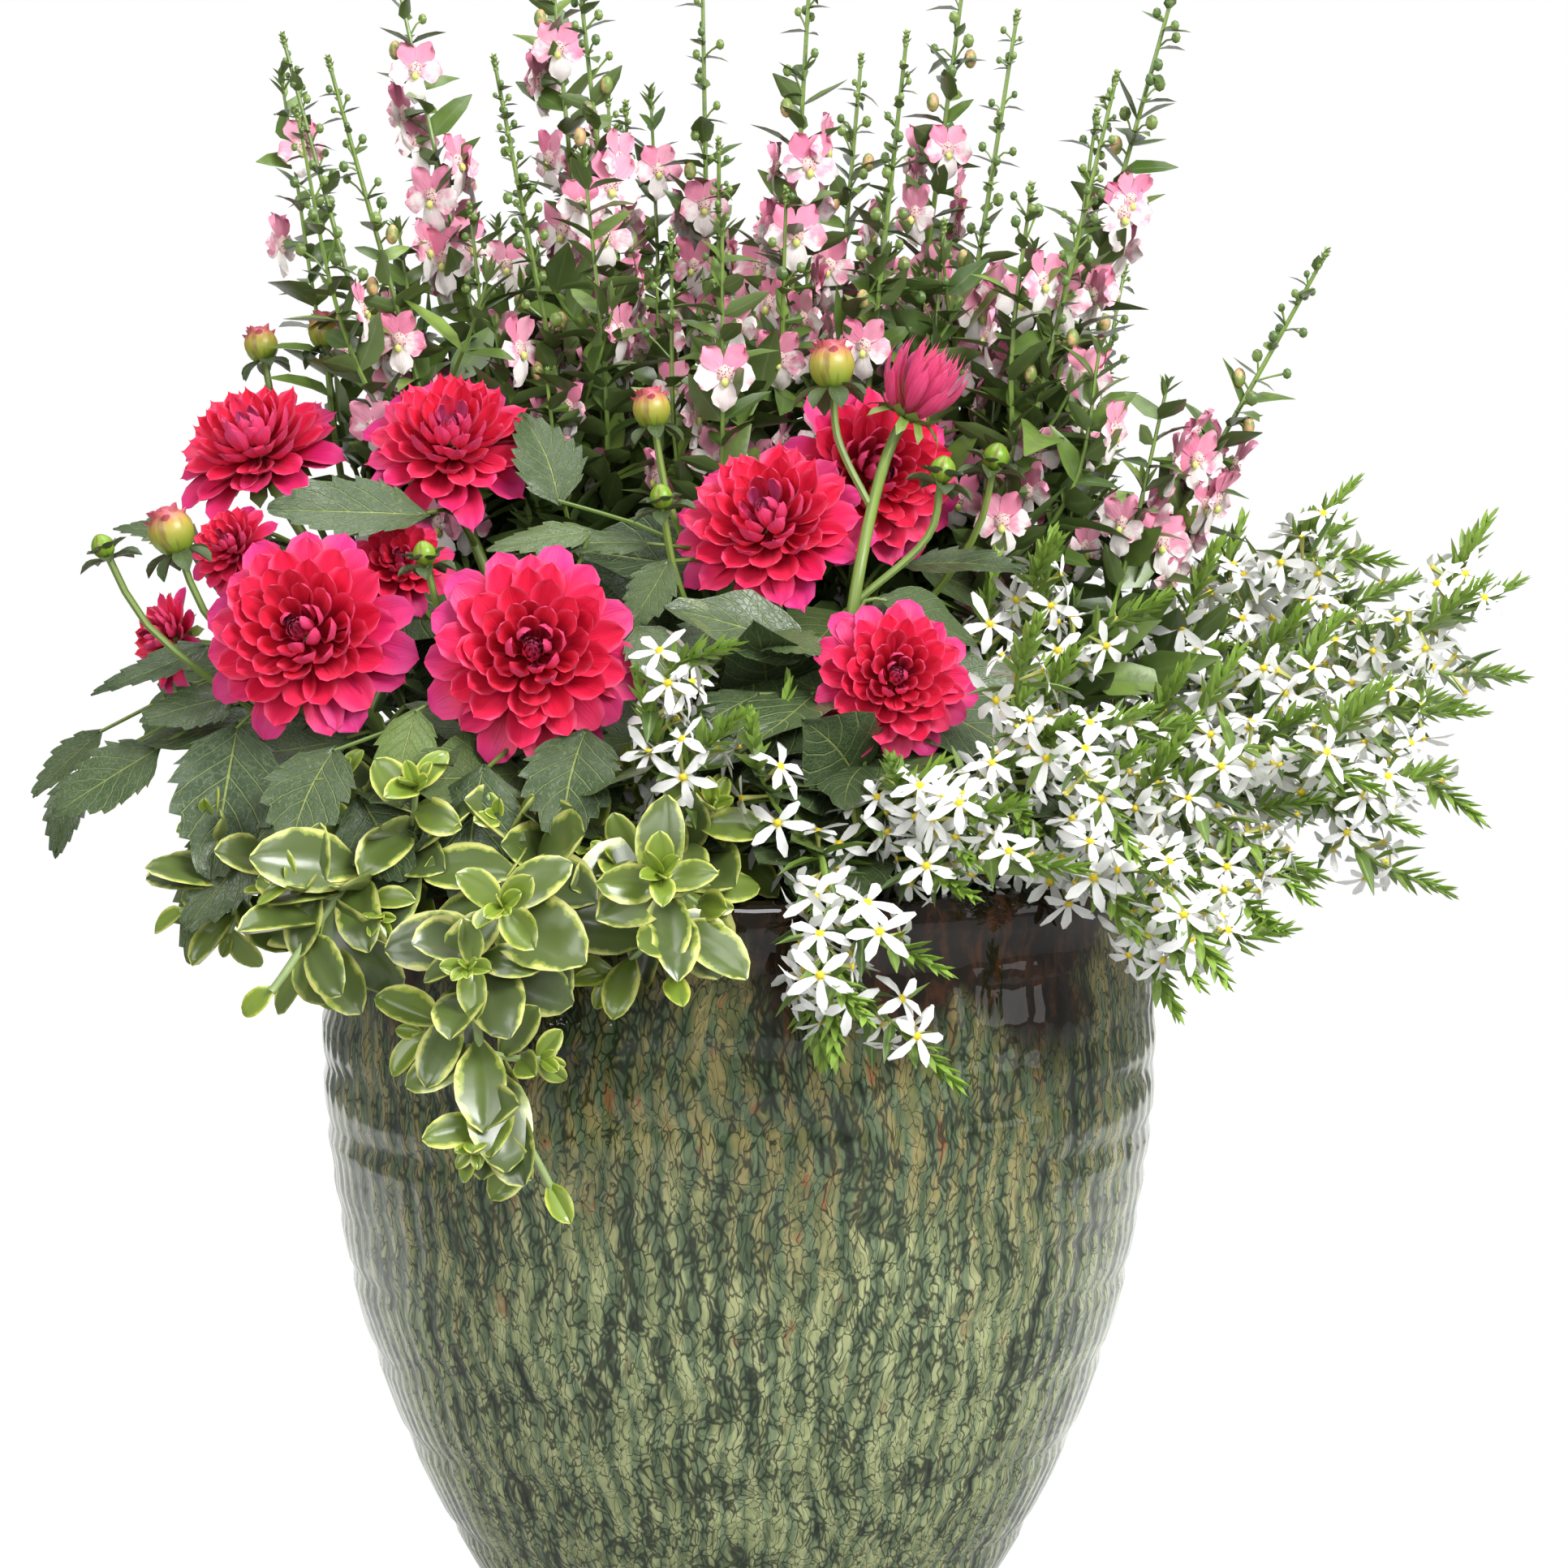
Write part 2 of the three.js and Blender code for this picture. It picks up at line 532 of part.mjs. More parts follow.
// A branch starts inside its stem and ends at a bud, or square to the back of a bloom.
function growBranch({ path, node }, branch, number, branchNumber) {
  const start = path.facet(branch.from).at;
  const tip = point(branch.at);
  if (branch.bloom) {
    const { axis, seat, behind } = bloomSeat({ at: branch.at, ...branch.bloom });
    const twig = new THREE.CatmullRomCurve3([start, behind, seat]);
    const squareEnd = twig.getTangentAt.bind(twig);
    twig.getTangentAt = (share, target) => (share === 1 ? axis.clone() : squareEnd(share, target));
    stand(node, stemSolid(twig, DAHLIA_TWIG, 3, 3), true);
    growBloom(`dahlia_bloom_${number + 1}_${"abc"[branchNumber]}`, branch.at, branch.bloom);
    return;
  }
  const before = tip.clone().add(new THREE.Vector3(0, 0, -18)).lerp(start, 0.12);
  const twig = new THREE.CatmullRomCurve3([start, before, tip]);
  stand(node, stemSolid(twig, DAHLIA_TWIG, 3, 3), true);
  growBud(node, tip, branch.bud, twig.getTangentAt(1), number * 7 + branchNumber);
}

// The stems of the other plants, before any leaf.
function spikeWay({ base, tip }) {
  const foot = new THREE.Vector3(base[0], base[1], SOIL_TOP);
  const end = point(tip);
  const low = foot.clone().lerp(end, 0.3).setZ(THREE.MathUtils.lerp(foot.z, end.z, 0.36));
  return [low, end];
}

function shootWay({ base, tip, bow }) {
  const foot = new THREE.Vector3(base[0], base[1], SOIL_TOP);
  const end = point(tip);
  const low = foot.clone().lerp(end, 0.3).add(new THREE.Vector3(0, 0, bow * 0.84));
  const middle = foot.clone().lerp(end, 0.6).add(new THREE.Vector3(0, 0, bow * 0.96));
  return [low, middle, end];
}

function rowOf(list, name, material, radius, wayOf, steps) {
  return list.map((plant, number) => {
    const node = newNode(`${name}_${number + 1}`, material);
    const path = new StemPath(plant.base, wayOf(plant), steps);
    rootHole(plant.base, radius, 3);
    stand(node, stemSolid(path, radius, 3, steps), true);
    return { ...plant, number, node, path, radius };
  });
}

const spikes = rowOf(ANGELONIAS, "angelonia_spike", MATERIALS.angelonia, ANGELONIA_STEM, spikeWay, 4);
const fanShoots = rowOf(FAN_SHOOTS, "fan_flower_shoot", MATERIALS.fan, FAN_STEM, shootWay, 7);
const iceWay = ({ over, tip }) => [...over, tip].map(point);
const iceShoots = rowOf(ICE_SHOOTS, "ice_plant_shoot", MATERIALS.ice, ICE_STEM, iceWay, 9);
stand(soil, soilSolid, false);

// A leaf, flower or small bud on a stem: its root is sunk into the stem, it stands out at a turn round it
// and leans forward along it.
function growOnStem({ node, path, radius }, share, turn, lean, turns, geometry) {
  const { at, along } = path.facet(share);
  const side = new THREE.Vector3().crossVectors(along, Math.abs(along.z) > 0.9 ? new THREE.Vector3(1, 0, 0) : UP);
  side.normalize();
  return growClear(node, turns, (extra) => {
    const out = side.clone().applyAxisAngle(along, turn + extra);
    const aim = out.clone().addScaledVector(along, lean).normalize();
    const root = at.clone().addScaledVector(out, -radius * ROOT_SUNK);
    const face = new THREE.Vector3().crossVectors(new THREE.Vector3().crossVectors(aim, UP), aim);
    return solidOf(geometry, placed(root, aim, face.lengthSq() > 0.01 ? face : out));
  });
}

// Large dahlia leaves, each on a stalk from its stem.
const STALK = 1.1;
DAHLIA_LEAVES.forEach(([stemNumber, from, to, width]) => {
  const { path, node } = DAHLIAS[stemNumber];
  const base = point(from);
  const tip = point(to);
  const nearest = [0.1, 0.18, 0.26, 0.34, 0.42, 0.5, 0.6, 0.7, 0.8].map((share) => path.facet(share).at);
  const wanted = base.clone().add(new THREE.Vector3(0, 0, -25));
  nearest.sort((a, b) => a.distanceTo(wanted) - b.distanceTo(wanted));
  growClear(node, [0, 10, -10, 18, -18, 28], (raise) => {
    const lift = new THREE.Vector3(0, 0, raise);
    const leafBase = base.clone().add(lift);
    const leafTip = tip.clone().addScaledVector(lift, 1.3);
    const along = leafTip.clone().sub(leafBase);
    const start = nearest[0];
    const bend = start.clone().lerp(leafBase, 0.55).add(new THREE.Vector3(0, 0, 8));
    const inside = leafBase.clone().addScaledVector(along, 0.12);
    const stalk = stemSolid(new THREE.CatmullRomCurve3([start, bend, inside]), STALK, 3, 2);
    const blade = leafGeometry(TOOTHED_SIDE, along.length(), width, { arch: 0.12, cup: -0.1 });
    const face = UP.clone().add(new THREE.Vector3(0, -0.8, 0));
    return stalk.add(solidOf(blade, placed(leafBase, along, face)));
  });
});

// Ice plant leaves, in pairs, smaller towards the tip, with a tuft at the end.
const SMALL_TURNS = [0, 0.35, -0.35, 0.7, -0.7, 1.1, -1.1];
iceShoots.forEach((plant) => {
  for (let pair = 0; pair < plant.pairs; pair++) {
    const share = 0.4 + (0.57 * (pair + 0.5)) / plant.pairs;
    const size = THREE.MathUtils.lerp(48, 22, pair / plant.pairs);
    for (const side of [0, Math.PI]) {
      const turn = side + (pair % 2) * 1.2 + 0.3;
      const leaf = leafGeometry(OVAL_SIDE, size, size * 0.52, { arch: 0.15, cup: 0.12, thickness: 2.6 });
      growOnStem(plant, share, turn, 0.35, SMALL_TURNS, leaf);
    }
  }
  const tuft = leafGeometry(OVAL_SIDE, 20, 10, { arch: 0.1, thickness: 2.4 });
  [0, 2.1, 4.2].forEach((turn) => growOnStem(plant, 0.985, turn, 1.3, SMALL_TURNS, tuft));
});

// Fan flower shoots: flowers along the outer part, a tuft of narrow leaves at the tip and a few below.
fanShoots.forEach((plant) => {
  const flowers = Math.round(plant.path.above.getLength() / 73);
  for (let i = 0; i < flowers; i++) {
    const share = 0.42 + (0.46 * (i + 0.5)) / flowers;
    const turn = i * 2.4 + plant.number;
    const flower = flowerGeometry(FAN_LOBES, 15, 13);
    growOnStem(plant, share, turn, 0.35, SMALL_TURNS, flower);
  }
  for (let i = 0; i < 4; i++) {
    const share = 0.9 + 0.085 * (i / 3);
    const leaf = leafGeometry(NARROW_SIDE, 21, 7, { arch: -0.12 });
    growOnStem(plant, share, i * 2.4, 1.4, SMALL_TURNS, leaf);
  }
  for (let i = 0; i < 2; i++) {
    const leaf = leafGeometry(NARROW_SIDE, 30, 10, { arch: 0.1 });
    growOnStem(plant, 0.38 + 0.24 * i, i * 2.4 + 1.2, 0.5, SMALL_TURNS, leaf);
  }
});

// Angelonia spikes: flowers over the stated stretch, small buds above it and long leaves below it.
spikes.forEach((plant) => {
  const [start, stop, flowers] = plant.bloom;
  for (let i = 0; i < flowers; i++) {
    const share = THREE.MathUtils.lerp(start, stop, (i + 0.5) / flowers);
    const flower = flowerGeometry(ANGELONIA_LOBES, 17, 13);
    growOnStem(plant, share, i * 2.4 + 2.6, 0.1, SMALL_TURNS, flower);
  }
  const upper = Math.max(stop, 0.6);
  for (let i = 0; i < 2; i++) {
    const share = THREE.MathUtils.lerp(upper + 0.08, 0.98, i);
    const bud = leafGeometry(NARROW_SIDE, 15, 8, { arch: 0.2, thickness: 4 });
    growOnStem(plant, share, i * 2.4, 0.6, SMALL_TURNS, bud);
  }
  for (let i = 0; i < 5; i++) {
    const share = 0.2 + 0.5 * (i / 4);
    const size = THREE.MathUtils.lerp(50, 36, i / 4);
    const leaf = leafGeometry(NARROW_SIDE, size, size * 0.27, { arch: 0.28, cup: 0.15 });
    growOnStem(plant, share, i * 1.9 + plant.number, 0.7, SMALL_TURNS, leaf);
  }
});

// One mesh for each node, its pieces fused into one body.
const planter = new THREE.Group();
for (const { name, material, pieces } of nodes) {
  const bodies = wasm.Manifold.union(pieces).decompose();
  bodies.sort((a, b) => b.volume() - a.volume());
  const mesh = new THREE.Mesh(geometryOf(bodies[0]), material);
  mesh.name = name;
  planter.add(mesh);
}

export default planter;
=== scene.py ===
import json
import math

import bpy
import numpy as np
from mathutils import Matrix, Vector, noise

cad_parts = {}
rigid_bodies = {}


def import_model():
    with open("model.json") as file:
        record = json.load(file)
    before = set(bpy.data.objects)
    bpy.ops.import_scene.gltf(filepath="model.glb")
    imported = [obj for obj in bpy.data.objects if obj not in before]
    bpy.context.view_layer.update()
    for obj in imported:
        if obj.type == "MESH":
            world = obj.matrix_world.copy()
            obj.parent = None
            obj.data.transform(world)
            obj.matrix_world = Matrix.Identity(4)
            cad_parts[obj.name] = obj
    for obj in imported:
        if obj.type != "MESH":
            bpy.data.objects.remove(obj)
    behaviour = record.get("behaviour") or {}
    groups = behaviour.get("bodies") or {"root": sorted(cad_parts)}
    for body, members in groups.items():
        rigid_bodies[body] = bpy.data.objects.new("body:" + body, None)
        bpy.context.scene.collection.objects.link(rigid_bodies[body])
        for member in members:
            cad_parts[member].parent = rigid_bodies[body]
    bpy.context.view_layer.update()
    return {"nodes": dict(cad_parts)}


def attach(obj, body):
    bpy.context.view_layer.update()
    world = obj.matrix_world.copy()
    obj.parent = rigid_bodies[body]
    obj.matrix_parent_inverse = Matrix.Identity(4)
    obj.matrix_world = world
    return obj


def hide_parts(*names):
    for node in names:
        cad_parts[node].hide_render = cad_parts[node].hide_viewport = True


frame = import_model()
bpy.ops.object.select_all(action="DESELECT")


# Pot
# A thrown stoneware pot with finger ribs down its side and shallow throwing rings round it. It is
# dipped in a green glaze that runs and crackles, and breaks to rust brown at the rim in the kiln.
MM = 0.001
POT_OUTLINE = [
    (94.5, 0), (96.5, 2), (107, 22), (124, 46), (152, 99),
    (178, 171), (191.5, 248), (194, 303), (191, 352),
]
POT_LIP = [
    (191, 352), (193, 361), (194.5, 369), (192.6, 376),
    (187.5, 378), (183, 375), (180, 364), (179, 345),
]
POT_INSIDE = [(179, 345), (180.5, 303), (166, 171), (159.5, 152), (112, 46), (96, 16)]
POT_FLOOR = 16
POT_ROWS = 56
RIBS = 100
RIB_COLUMNS = 5
RIB_DEPTH = 0.5
RING_DEPTH = 2.0
RING_WIDTH = 3.4
RING_HEIGHTS = [334, 308, 283, 258, 240, 219, 190, 152, 112, 70]
DRAIN_RADIUS = 8
DRAIN_CIRCLE = 48


def unit(vector):
    return vector / np.linalg.norm(vector, axis=-1, keepdims=True)


class SmoothLine:
    """A smooth line through points, read by the share of its length."""

    def __init__(self, points, divisions=200):
        given = np.array(points, float)
        self.points = np.vstack([2 * given[0] - given[1], given, 2 * given[-1] - given[-2]])
        self.divisions = divisions
        fine = self.raw(np.linspace(0, 1, divisions + 1))
        self.lengths = np.concatenate([[0], np.cumsum(np.linalg.norm(np.diff(fine, axis=0), axis=1))])
        self.length = self.lengths[-1]

    def raw(self, share):
        spans = len(self.points) - 3
        place = np.clip(np.atleast_1d(share), 0, 1) * spans
        first = np.minimum(place.astype(int), spans - 1)
        w = (place - first)[:, None]
        a, b, c, d = (self.points[first + i] for i in range(4))
        spans = ((a, b), (b, c), (c, d))
        ab, bc, cd = (np.linalg.norm(q - p, axis=1, keepdims=True) ** 0.5 for p, q in spans)
        start = ((b - a) / ab - (c - a) / (ab + bc) + (c - b) / bc) * bc
        stop = ((c - b) / bc - (d - b) / (bc + cd) + (d - c) / cd) * bc
        return b + w * (start + w * ((3 * (c - b) - 2 * start - stop) + w * (2 * (b - c) + start + stop)))

    def at(self, share):
        wanted = np.atleast_1d(share) * self.length
        return self.raw(np.interp(wanted, self.lengths, np.linspace(0, 1, self.divisions + 1)))


def on_side(points, count):
    """Points along a smooth profile, given as radius and height."""
    return SmoothLine([(r, 0, z) for r, z in points]).at(np.linspace(0, 1, count))


def model_profile(profile, steps):
    """Extrudes a profile from one point and spins it into a closed body."""
    bpy.ops.object.select_all(action="DESELECT")
    bpy.ops.mesh.primitive_plane_add(size=MM)
    bpy.ops.object.mode_set(mode="EDIT")
    bpy.ops.mesh.select_all(action="SELECT")
    bpy.ops.mesh.merge(type="CENTER")
    bpy.ops.transform.translate(value=Vector(profile[0]) * MM)
    for here, there in zip(profile[:-1], profile[1:]):
        step = (Vector(there) - Vector(here)) * MM
        bpy.ops.mesh.extrude_region_move(TRANSFORM_OT_translate={"value": step})
    bpy.ops.mesh.select_all(action="SELECT")
    bpy.ops.mesh.spin(steps=steps, angle=2 * math.pi, center=(0, 0, 0), axis=(0, 0, 1))
    bpy.ops.mesh.select_all(action="SELECT")
    bpy.ops.mesh.remove_doubles(threshold=0.01 * MM)
    bpy.ops.mesh.normals_make_consistent(inside=False)
    bpy.ops.object.mode_set(mode="OBJECT")
    return bpy.context.object


def smooth(low, high, value):
    share = np.clip((value - low) / (high - low), 0, 1)
    return share * share * (3 - 2 * share)


def add_numbers(piece, name, values):
    attribute = piece.data.attributes.new(name, "FLOAT", "POINT")
    attribute.data.foreach_set("value", np.asarray(values, np.float32))


class Finish:
    """A node material in the making. Each call adds a node and gives its output."""

    def __init__(self, name, **sockets):
        self.material = bpy.data.materials.new(name)
        self.material.use_nodes = True
        self.tree = self.material.node_tree
        self.shader = self.tree.nodes["Principled BSDF"]
        for socket, value in sockets.items():
            self.put(self.shader.inputs[socket.replace("_", " ")], value)

    def put(self, socket, value):
        if isinstance(value, bpy.types.NodeSocket):
            self.tree.links.new(value, socket)
        elif isinstance(value, tuple) and len(value) == 3 and socket.type == "RGBA":
            socket.default_value = (*value, 1)
        else:
            socket.default_value = value

    def add(self, kind, output, settings, inputs):
        node = self.tree.nodes.new("ShaderNode" + kind)
        for name, value in settings.items():
            setattr(node, name, value)
        for name, value in inputs.items():
            if value is not None:
                self.put(node.inputs[name], value)
        return node.outputs[output]

    def shine(self, **sockets):
        for socket, value in sockets.items():
            self.put(self.shader.inputs[socket.replace("_", " ")], value)
        return self.material

    def reckon(self, operation, a, b=None):
        return self.add("Math", 0, {"operation": operation}, {0: a, 1: b})

    def times(self, a, b):
        return self.reckon("MULTIPLY", a, b)

    def plus(self, a, b):
        return self.reckon("ADD", a, b)

    def minus(self, a, b):
        return self.reckon("SUBTRACT", a, b)

    def over(self, a, b):
        return self.reckon("DIVIDE", a, b)

    def larger(self, a, b):
        return self.reckon("MAXIMUM", a, b)

    def unsigned(self, a):
        return self.reckon("ABSOLUTE", a)

    def fraction(self, a):
        return self.reckon("FRACT", a)

    def fit(self, value, low, high, to_low=0.0, to_high=1.0):
        limits = {"From Min": low, "From Max": high, "To Min": to_low, "To Max": to_high}
        return self.add("MapRange", 0, {"interpolation_type": "SMOOTHSTEP"}, {"Value": value, **limits})

    def mix(self, share, a, b):
        return self.add("Mix", 2, {"data_type": "RGBA"}, {0: share, 6: a, 7: b})

    def place(self):
        return self.add("TexCoord", "Object", {}, {})

    def number(self, name):
        return self.add("Attribute", "Fac", {"attribute_name": name}, {})

    def grain(self):
        """The place on each blade or stem: across it and along it."""
        return self.add("UVMap", 0, {"uv_map": "growth"}, {})

    def off_middle(self, across):
        return self.unsigned(self.minus(across, 0.5))

    def upper_side(self, below=0.0, above=1.0):
        """One number on the under side of a blade, and another on its upper side."""
        return self.fit(self.number("side"), -0.2, 0.2, below, above)

    def stretch(self, vector, scale):
        return self.add("Mapping", 0, {}, {"Vector": vector, "Scale": scale})

    def noise(self, vector, scale, detail=2.0, rough=0.5, output="Fac"):
        numbers = {"Vector": vector, "Scale": scale, "Detail": detail, "Roughness": rough}
        return self.add("TexNoise", output, {}, numbers)

    def cells(self, vector, scale, feature="DISTANCE_TO_EDGE"):
        return self.add("TexVoronoi", "Distance", {"feature": feature}, {"Vector": vector, "Scale": scale})

    def warp(self, vector, scale, amount):
        """Pushes a pattern about by a soft noise."""
        push = self.noise(vector, scale, 2.0, output="Color")
        centred = self.add("VectorMath", 0, {"operation": "SUBTRACT"}, {0: push, 1: (0.5, 0.5, 0.5)})
        scaled = self.add("VectorMath", 0, {"operation": "SCALE"}, {0: centred, "Scale": amount})
        return self.add("VectorMath", 0, {"operation": "ADD"}, {0: vector, 1: scaled})

    def split(self, vector):
        node = self.tree.nodes.new("ShaderNodeSeparateXYZ")
        self.put(node.inputs[0], vector)
        return node.outputs

    def bump(self, height, depth, strength=1.0):
        return self.add("Bump", 0, {}, {"Height": height, "Distance": depth, "Strength": strength})


outside = on_side(POT_OUTLINE, POT_ROWS)
lip = on_side(POT_LIP, 9)[1:]
inside = np.array([(r, 0, z) for r, z in POT_INSIDE[1:]], float)
pot = model_profile([(0, 0, 0), *outside, *lip, *inside, (0, 0, POT_FLOOR)], RIBS * RIB_COLUMNS)
pot.name = "glazed_pot"
for third in range(3):
    turn = math.radians(90 + 120 * third)
    spot = (DRAIN_CIRCLE * MM * math.cos(turn), DRAIN_CIRCLE * MM * math.sin(turn), 0)
    bpy.ops.mesh.primitive_cylinder_add(
        vertices=32, radius=DRAIN_RADIUS * MM, depth=3 * POT_FLOOR * MM, location=spot
    )
    drill = bpy.context.object
    bpy.context.view_layer.objects.active = pot
    bpy.ops.object.modifier_add(type="BOOLEAN")
    pot.modifiers[0].object = drill
    pot.modifiers[0].operation = "DIFFERENCE"
    bpy.ops.object.modifier_apply(modifier=pot.modifiers[0].name)
    bpy.data.objects.remove(drill)

shell = np.array([v.co for v in pot.data.vertices]) / MM
height = shell[:, 2]
radius = np.hypot(shell[:, 0], shell[:, 1])
turns = np.arctan2(shell[:, 1], shell[:, 0])
wall_radius = np.interp(height, outside[:, 2], outside[:, 0])
is_side = (radius > wall_radius - 4) & (height > 3) & (height < 351)
sway = np.array([noise.noise(Vector(p) * 0.014) for p in shell])
ripple = np.array([noise.noise(Vector((p[0], p[1], p[2] * 0.5)) * 0.06) for p in shell])
rib = 0.5 - 0.5 * np.cos(RIBS * turns + 5.5 * sway + 1.2 * np.sin(height * 0.11))
rings = sum(np.exp(-(((height - ring - 4 * sway) / RING_WIDTH) ** 2)) for ring in RING_HEIGHTS)
fade = smooth(4, 30, height) * (1 - smooth(326, 350, height))
relief = RIB_DEPTH * rib * fade + (RING_DEPTH * rings + 0.45 * ripple) * smooth(4, 24, height)
depth = np.where(is_side, relief, 0)
shell[:, :2] *= ((radius - depth) / np.maximum(radius, 1))[:, None]
pot.data.vertices.foreach_set("co", (shell * MM).ravel())
add_numbers(pot, "groove", np.where(is_side, rib * fade, 0))
bpy.ops.object.select_all(action="DESELECT")
pot.select_set(True)
bpy.context.view_layer.objects.active = pot
bpy.ops.object.shade_smooth_by_angle(angle=math.radians(40))

glaze = Finish("running_green_glaze", Roughness=0.6, Specular_IOR_Level=0.0)
glaze.shine(Coat_Weight=1.0, Coat_Roughness=0.02)
spot = glaze.place()
level = glaze.split(spot)[2]
runs = glaze.stretch(glaze.warp(glaze.warp(spot, 26.0, 0.016), 85.0, 0.0060), (1.0, 1.0, 0.28))
fine_runs = glaze.warp(runs, 210.0, 0.0035)
broad = glaze.noise(glaze.stretch(spot, (1.0, 1.0, 0.5)), 13.0, 3.0, 0.6)
streak = glaze.noise(runs, 150.0, 3.0, 0.65)
uneven = glaze.noise(runs, 70.0, 2.0)
furrow_at = glaze.plus(glaze.number("groove"), glaze.fit(uneven, 0.3, 0.7, -0.3, 0.3))
furrow = glaze.fit(furrow_at, 0.25, 0.75)
height_now = glaze.plus(level, glaze.fit(broad, 0.3, 0.7, -0.03, 0.03))
low_crest = glaze.mix(glaze.fit(streak, 0.38, 0.62), (0.235, 0.272, 0.125), (0.370, 0.400, 0.198))
high_crest = glaze.mix(glaze.fit(streak, 0.38, 0.62), (0.120, 0.132, 0.050), (0.250, 0.210, 0.084))
crest = glaze.mix(glaze.fit(height_now, 0.19, 0.29), low_crest, high_crest)
low_trough = glaze.mix(glaze.fit(streak, 0.40, 0.60), (0.106, 0.148, 0.076), (0.185, 0.243, 0.132))
high_trough = glaze.mix(glaze.fit(streak, 0.40, 0.60), (0.062, 0.096, 0.046), (0.118, 0.163, 0.086))
trough = glaze.mix(glaze.fit(height_now, 0.12, 0.27), low_trough, high_trough)
body_colour = glaze.mix(furrow, crest, trough)
contour = glaze.fraction(glaze.times(glaze.noise(fine_runs, 80.0, 2.0, 0.6), 10.0))
marbling = glaze.fit(glaze.unsigned(glaze.minus(contour, 0.5)), 0.02, 0.17, 0.6, 0.0)
body_colour = glaze.mix(marbling, body_colour, (0.055, 0.070, 0.036))
rust_spots = glaze.fit(glaze.noise(runs, 120.0, 3.0, 0.6), 0.61, 0.69)
rust_here = glaze.times(rust_spots, glaze.fit(height_now, 0.12, 0.29, 0.1, 1.0))
rust_here = glaze.times(rust_here, glaze.minus(1.0, glaze.times(furrow, 0.8)))
body_colour = glaze.mix(rust_here, body_colour, (0.24, 0.10, 0.042))
vein_width = glaze.fit(uneven, 0.35, 0.7, 0.05, 0.25)
vein_place = glaze.over(glaze.cells(fine_runs, 310.0), vein_width)
veins = glaze.fit(vein_place, 0.15, 1.0, 0.85, 0.0)
body_colour = glaze.mix(veins, body_colour, (0.012, 0.017, 0.010))
pooled = glaze.times(glaze.fit(furrow_at, 0.92, 1.22), glaze.fit(broad, 0.42, 0.56, 0.2, 0.9))
body_colour = glaze.mix(pooled, body_colour, (0.010, 0.014, 0.009))
rim_colour = glaze.mix(glaze.fit(streak, 0.45, 0.7), (0.011, 0.008, 0.005), (0.050, 0.020, 0.009))
body_colour = glaze.mix(glaze.fit(height_now, 0.318, 0.350), body_colour, rim_colour)
clay = glaze.fit(level, 0.0004, 0.0014, 1.0, 0.0)
glaze.shine(Base_Color=glaze.mix(clay, body_colour, (0.35, 0.20, 0.12)))
waves = glaze.noise(glaze.stretch(spot, (1.0, 1.0, 0.34)), 60.0, 2.0)
pot.data.materials.append(glaze.shine(Coat_Normal=glaze.bump(waves, 0.0010, 0.3)))
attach(pot, "root")
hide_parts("pot")


# Potting soil
# Damp dark peat and bark, pressed in round the roots to a finger's width below the rim, with loose
# crumbs on top.
SOIL_TOP = 345
SOIL_PROFILE = [(95, 16.4), (147, 152), (150, 165), (178.2, 343), (176, 345)]
SOIL_STEPS = 90
CRUMBS = 260


class Shape:
    """Faces with the place of each point on the surface: u across, v along, and the side."""

    def __init__(self, u, v, side, quads, threes=()):
        self.u, self.v, self.side = (np.asarray(x, float) for x in (u, v, side))
        self.quads = np.asarray(quads, int).reshape(-1, 4)
        self.threes = np.asarray(threes, int).reshape(-1, 3)


def take_shape(blank, side=None):
    """Reads a modelled blank and clears it away. It spans -1 to 1 across and along."""
    mesh = blank.data
    points = np.array([v.co for v in mesh.vertices])
    faces = [tuple(face.vertices) for face in mesh.polygons]
    bpy.data.objects.remove(blank)
    quads = [f for f in faces if len(f) == 4]
    threes = [f for f in faces if len(f) == 3]
    if side is None:
        side = np.sign(points[:, 2])
    return Shape(points[:, 0], (points[:, 1] + 1) / 2, side, quads, threes), points


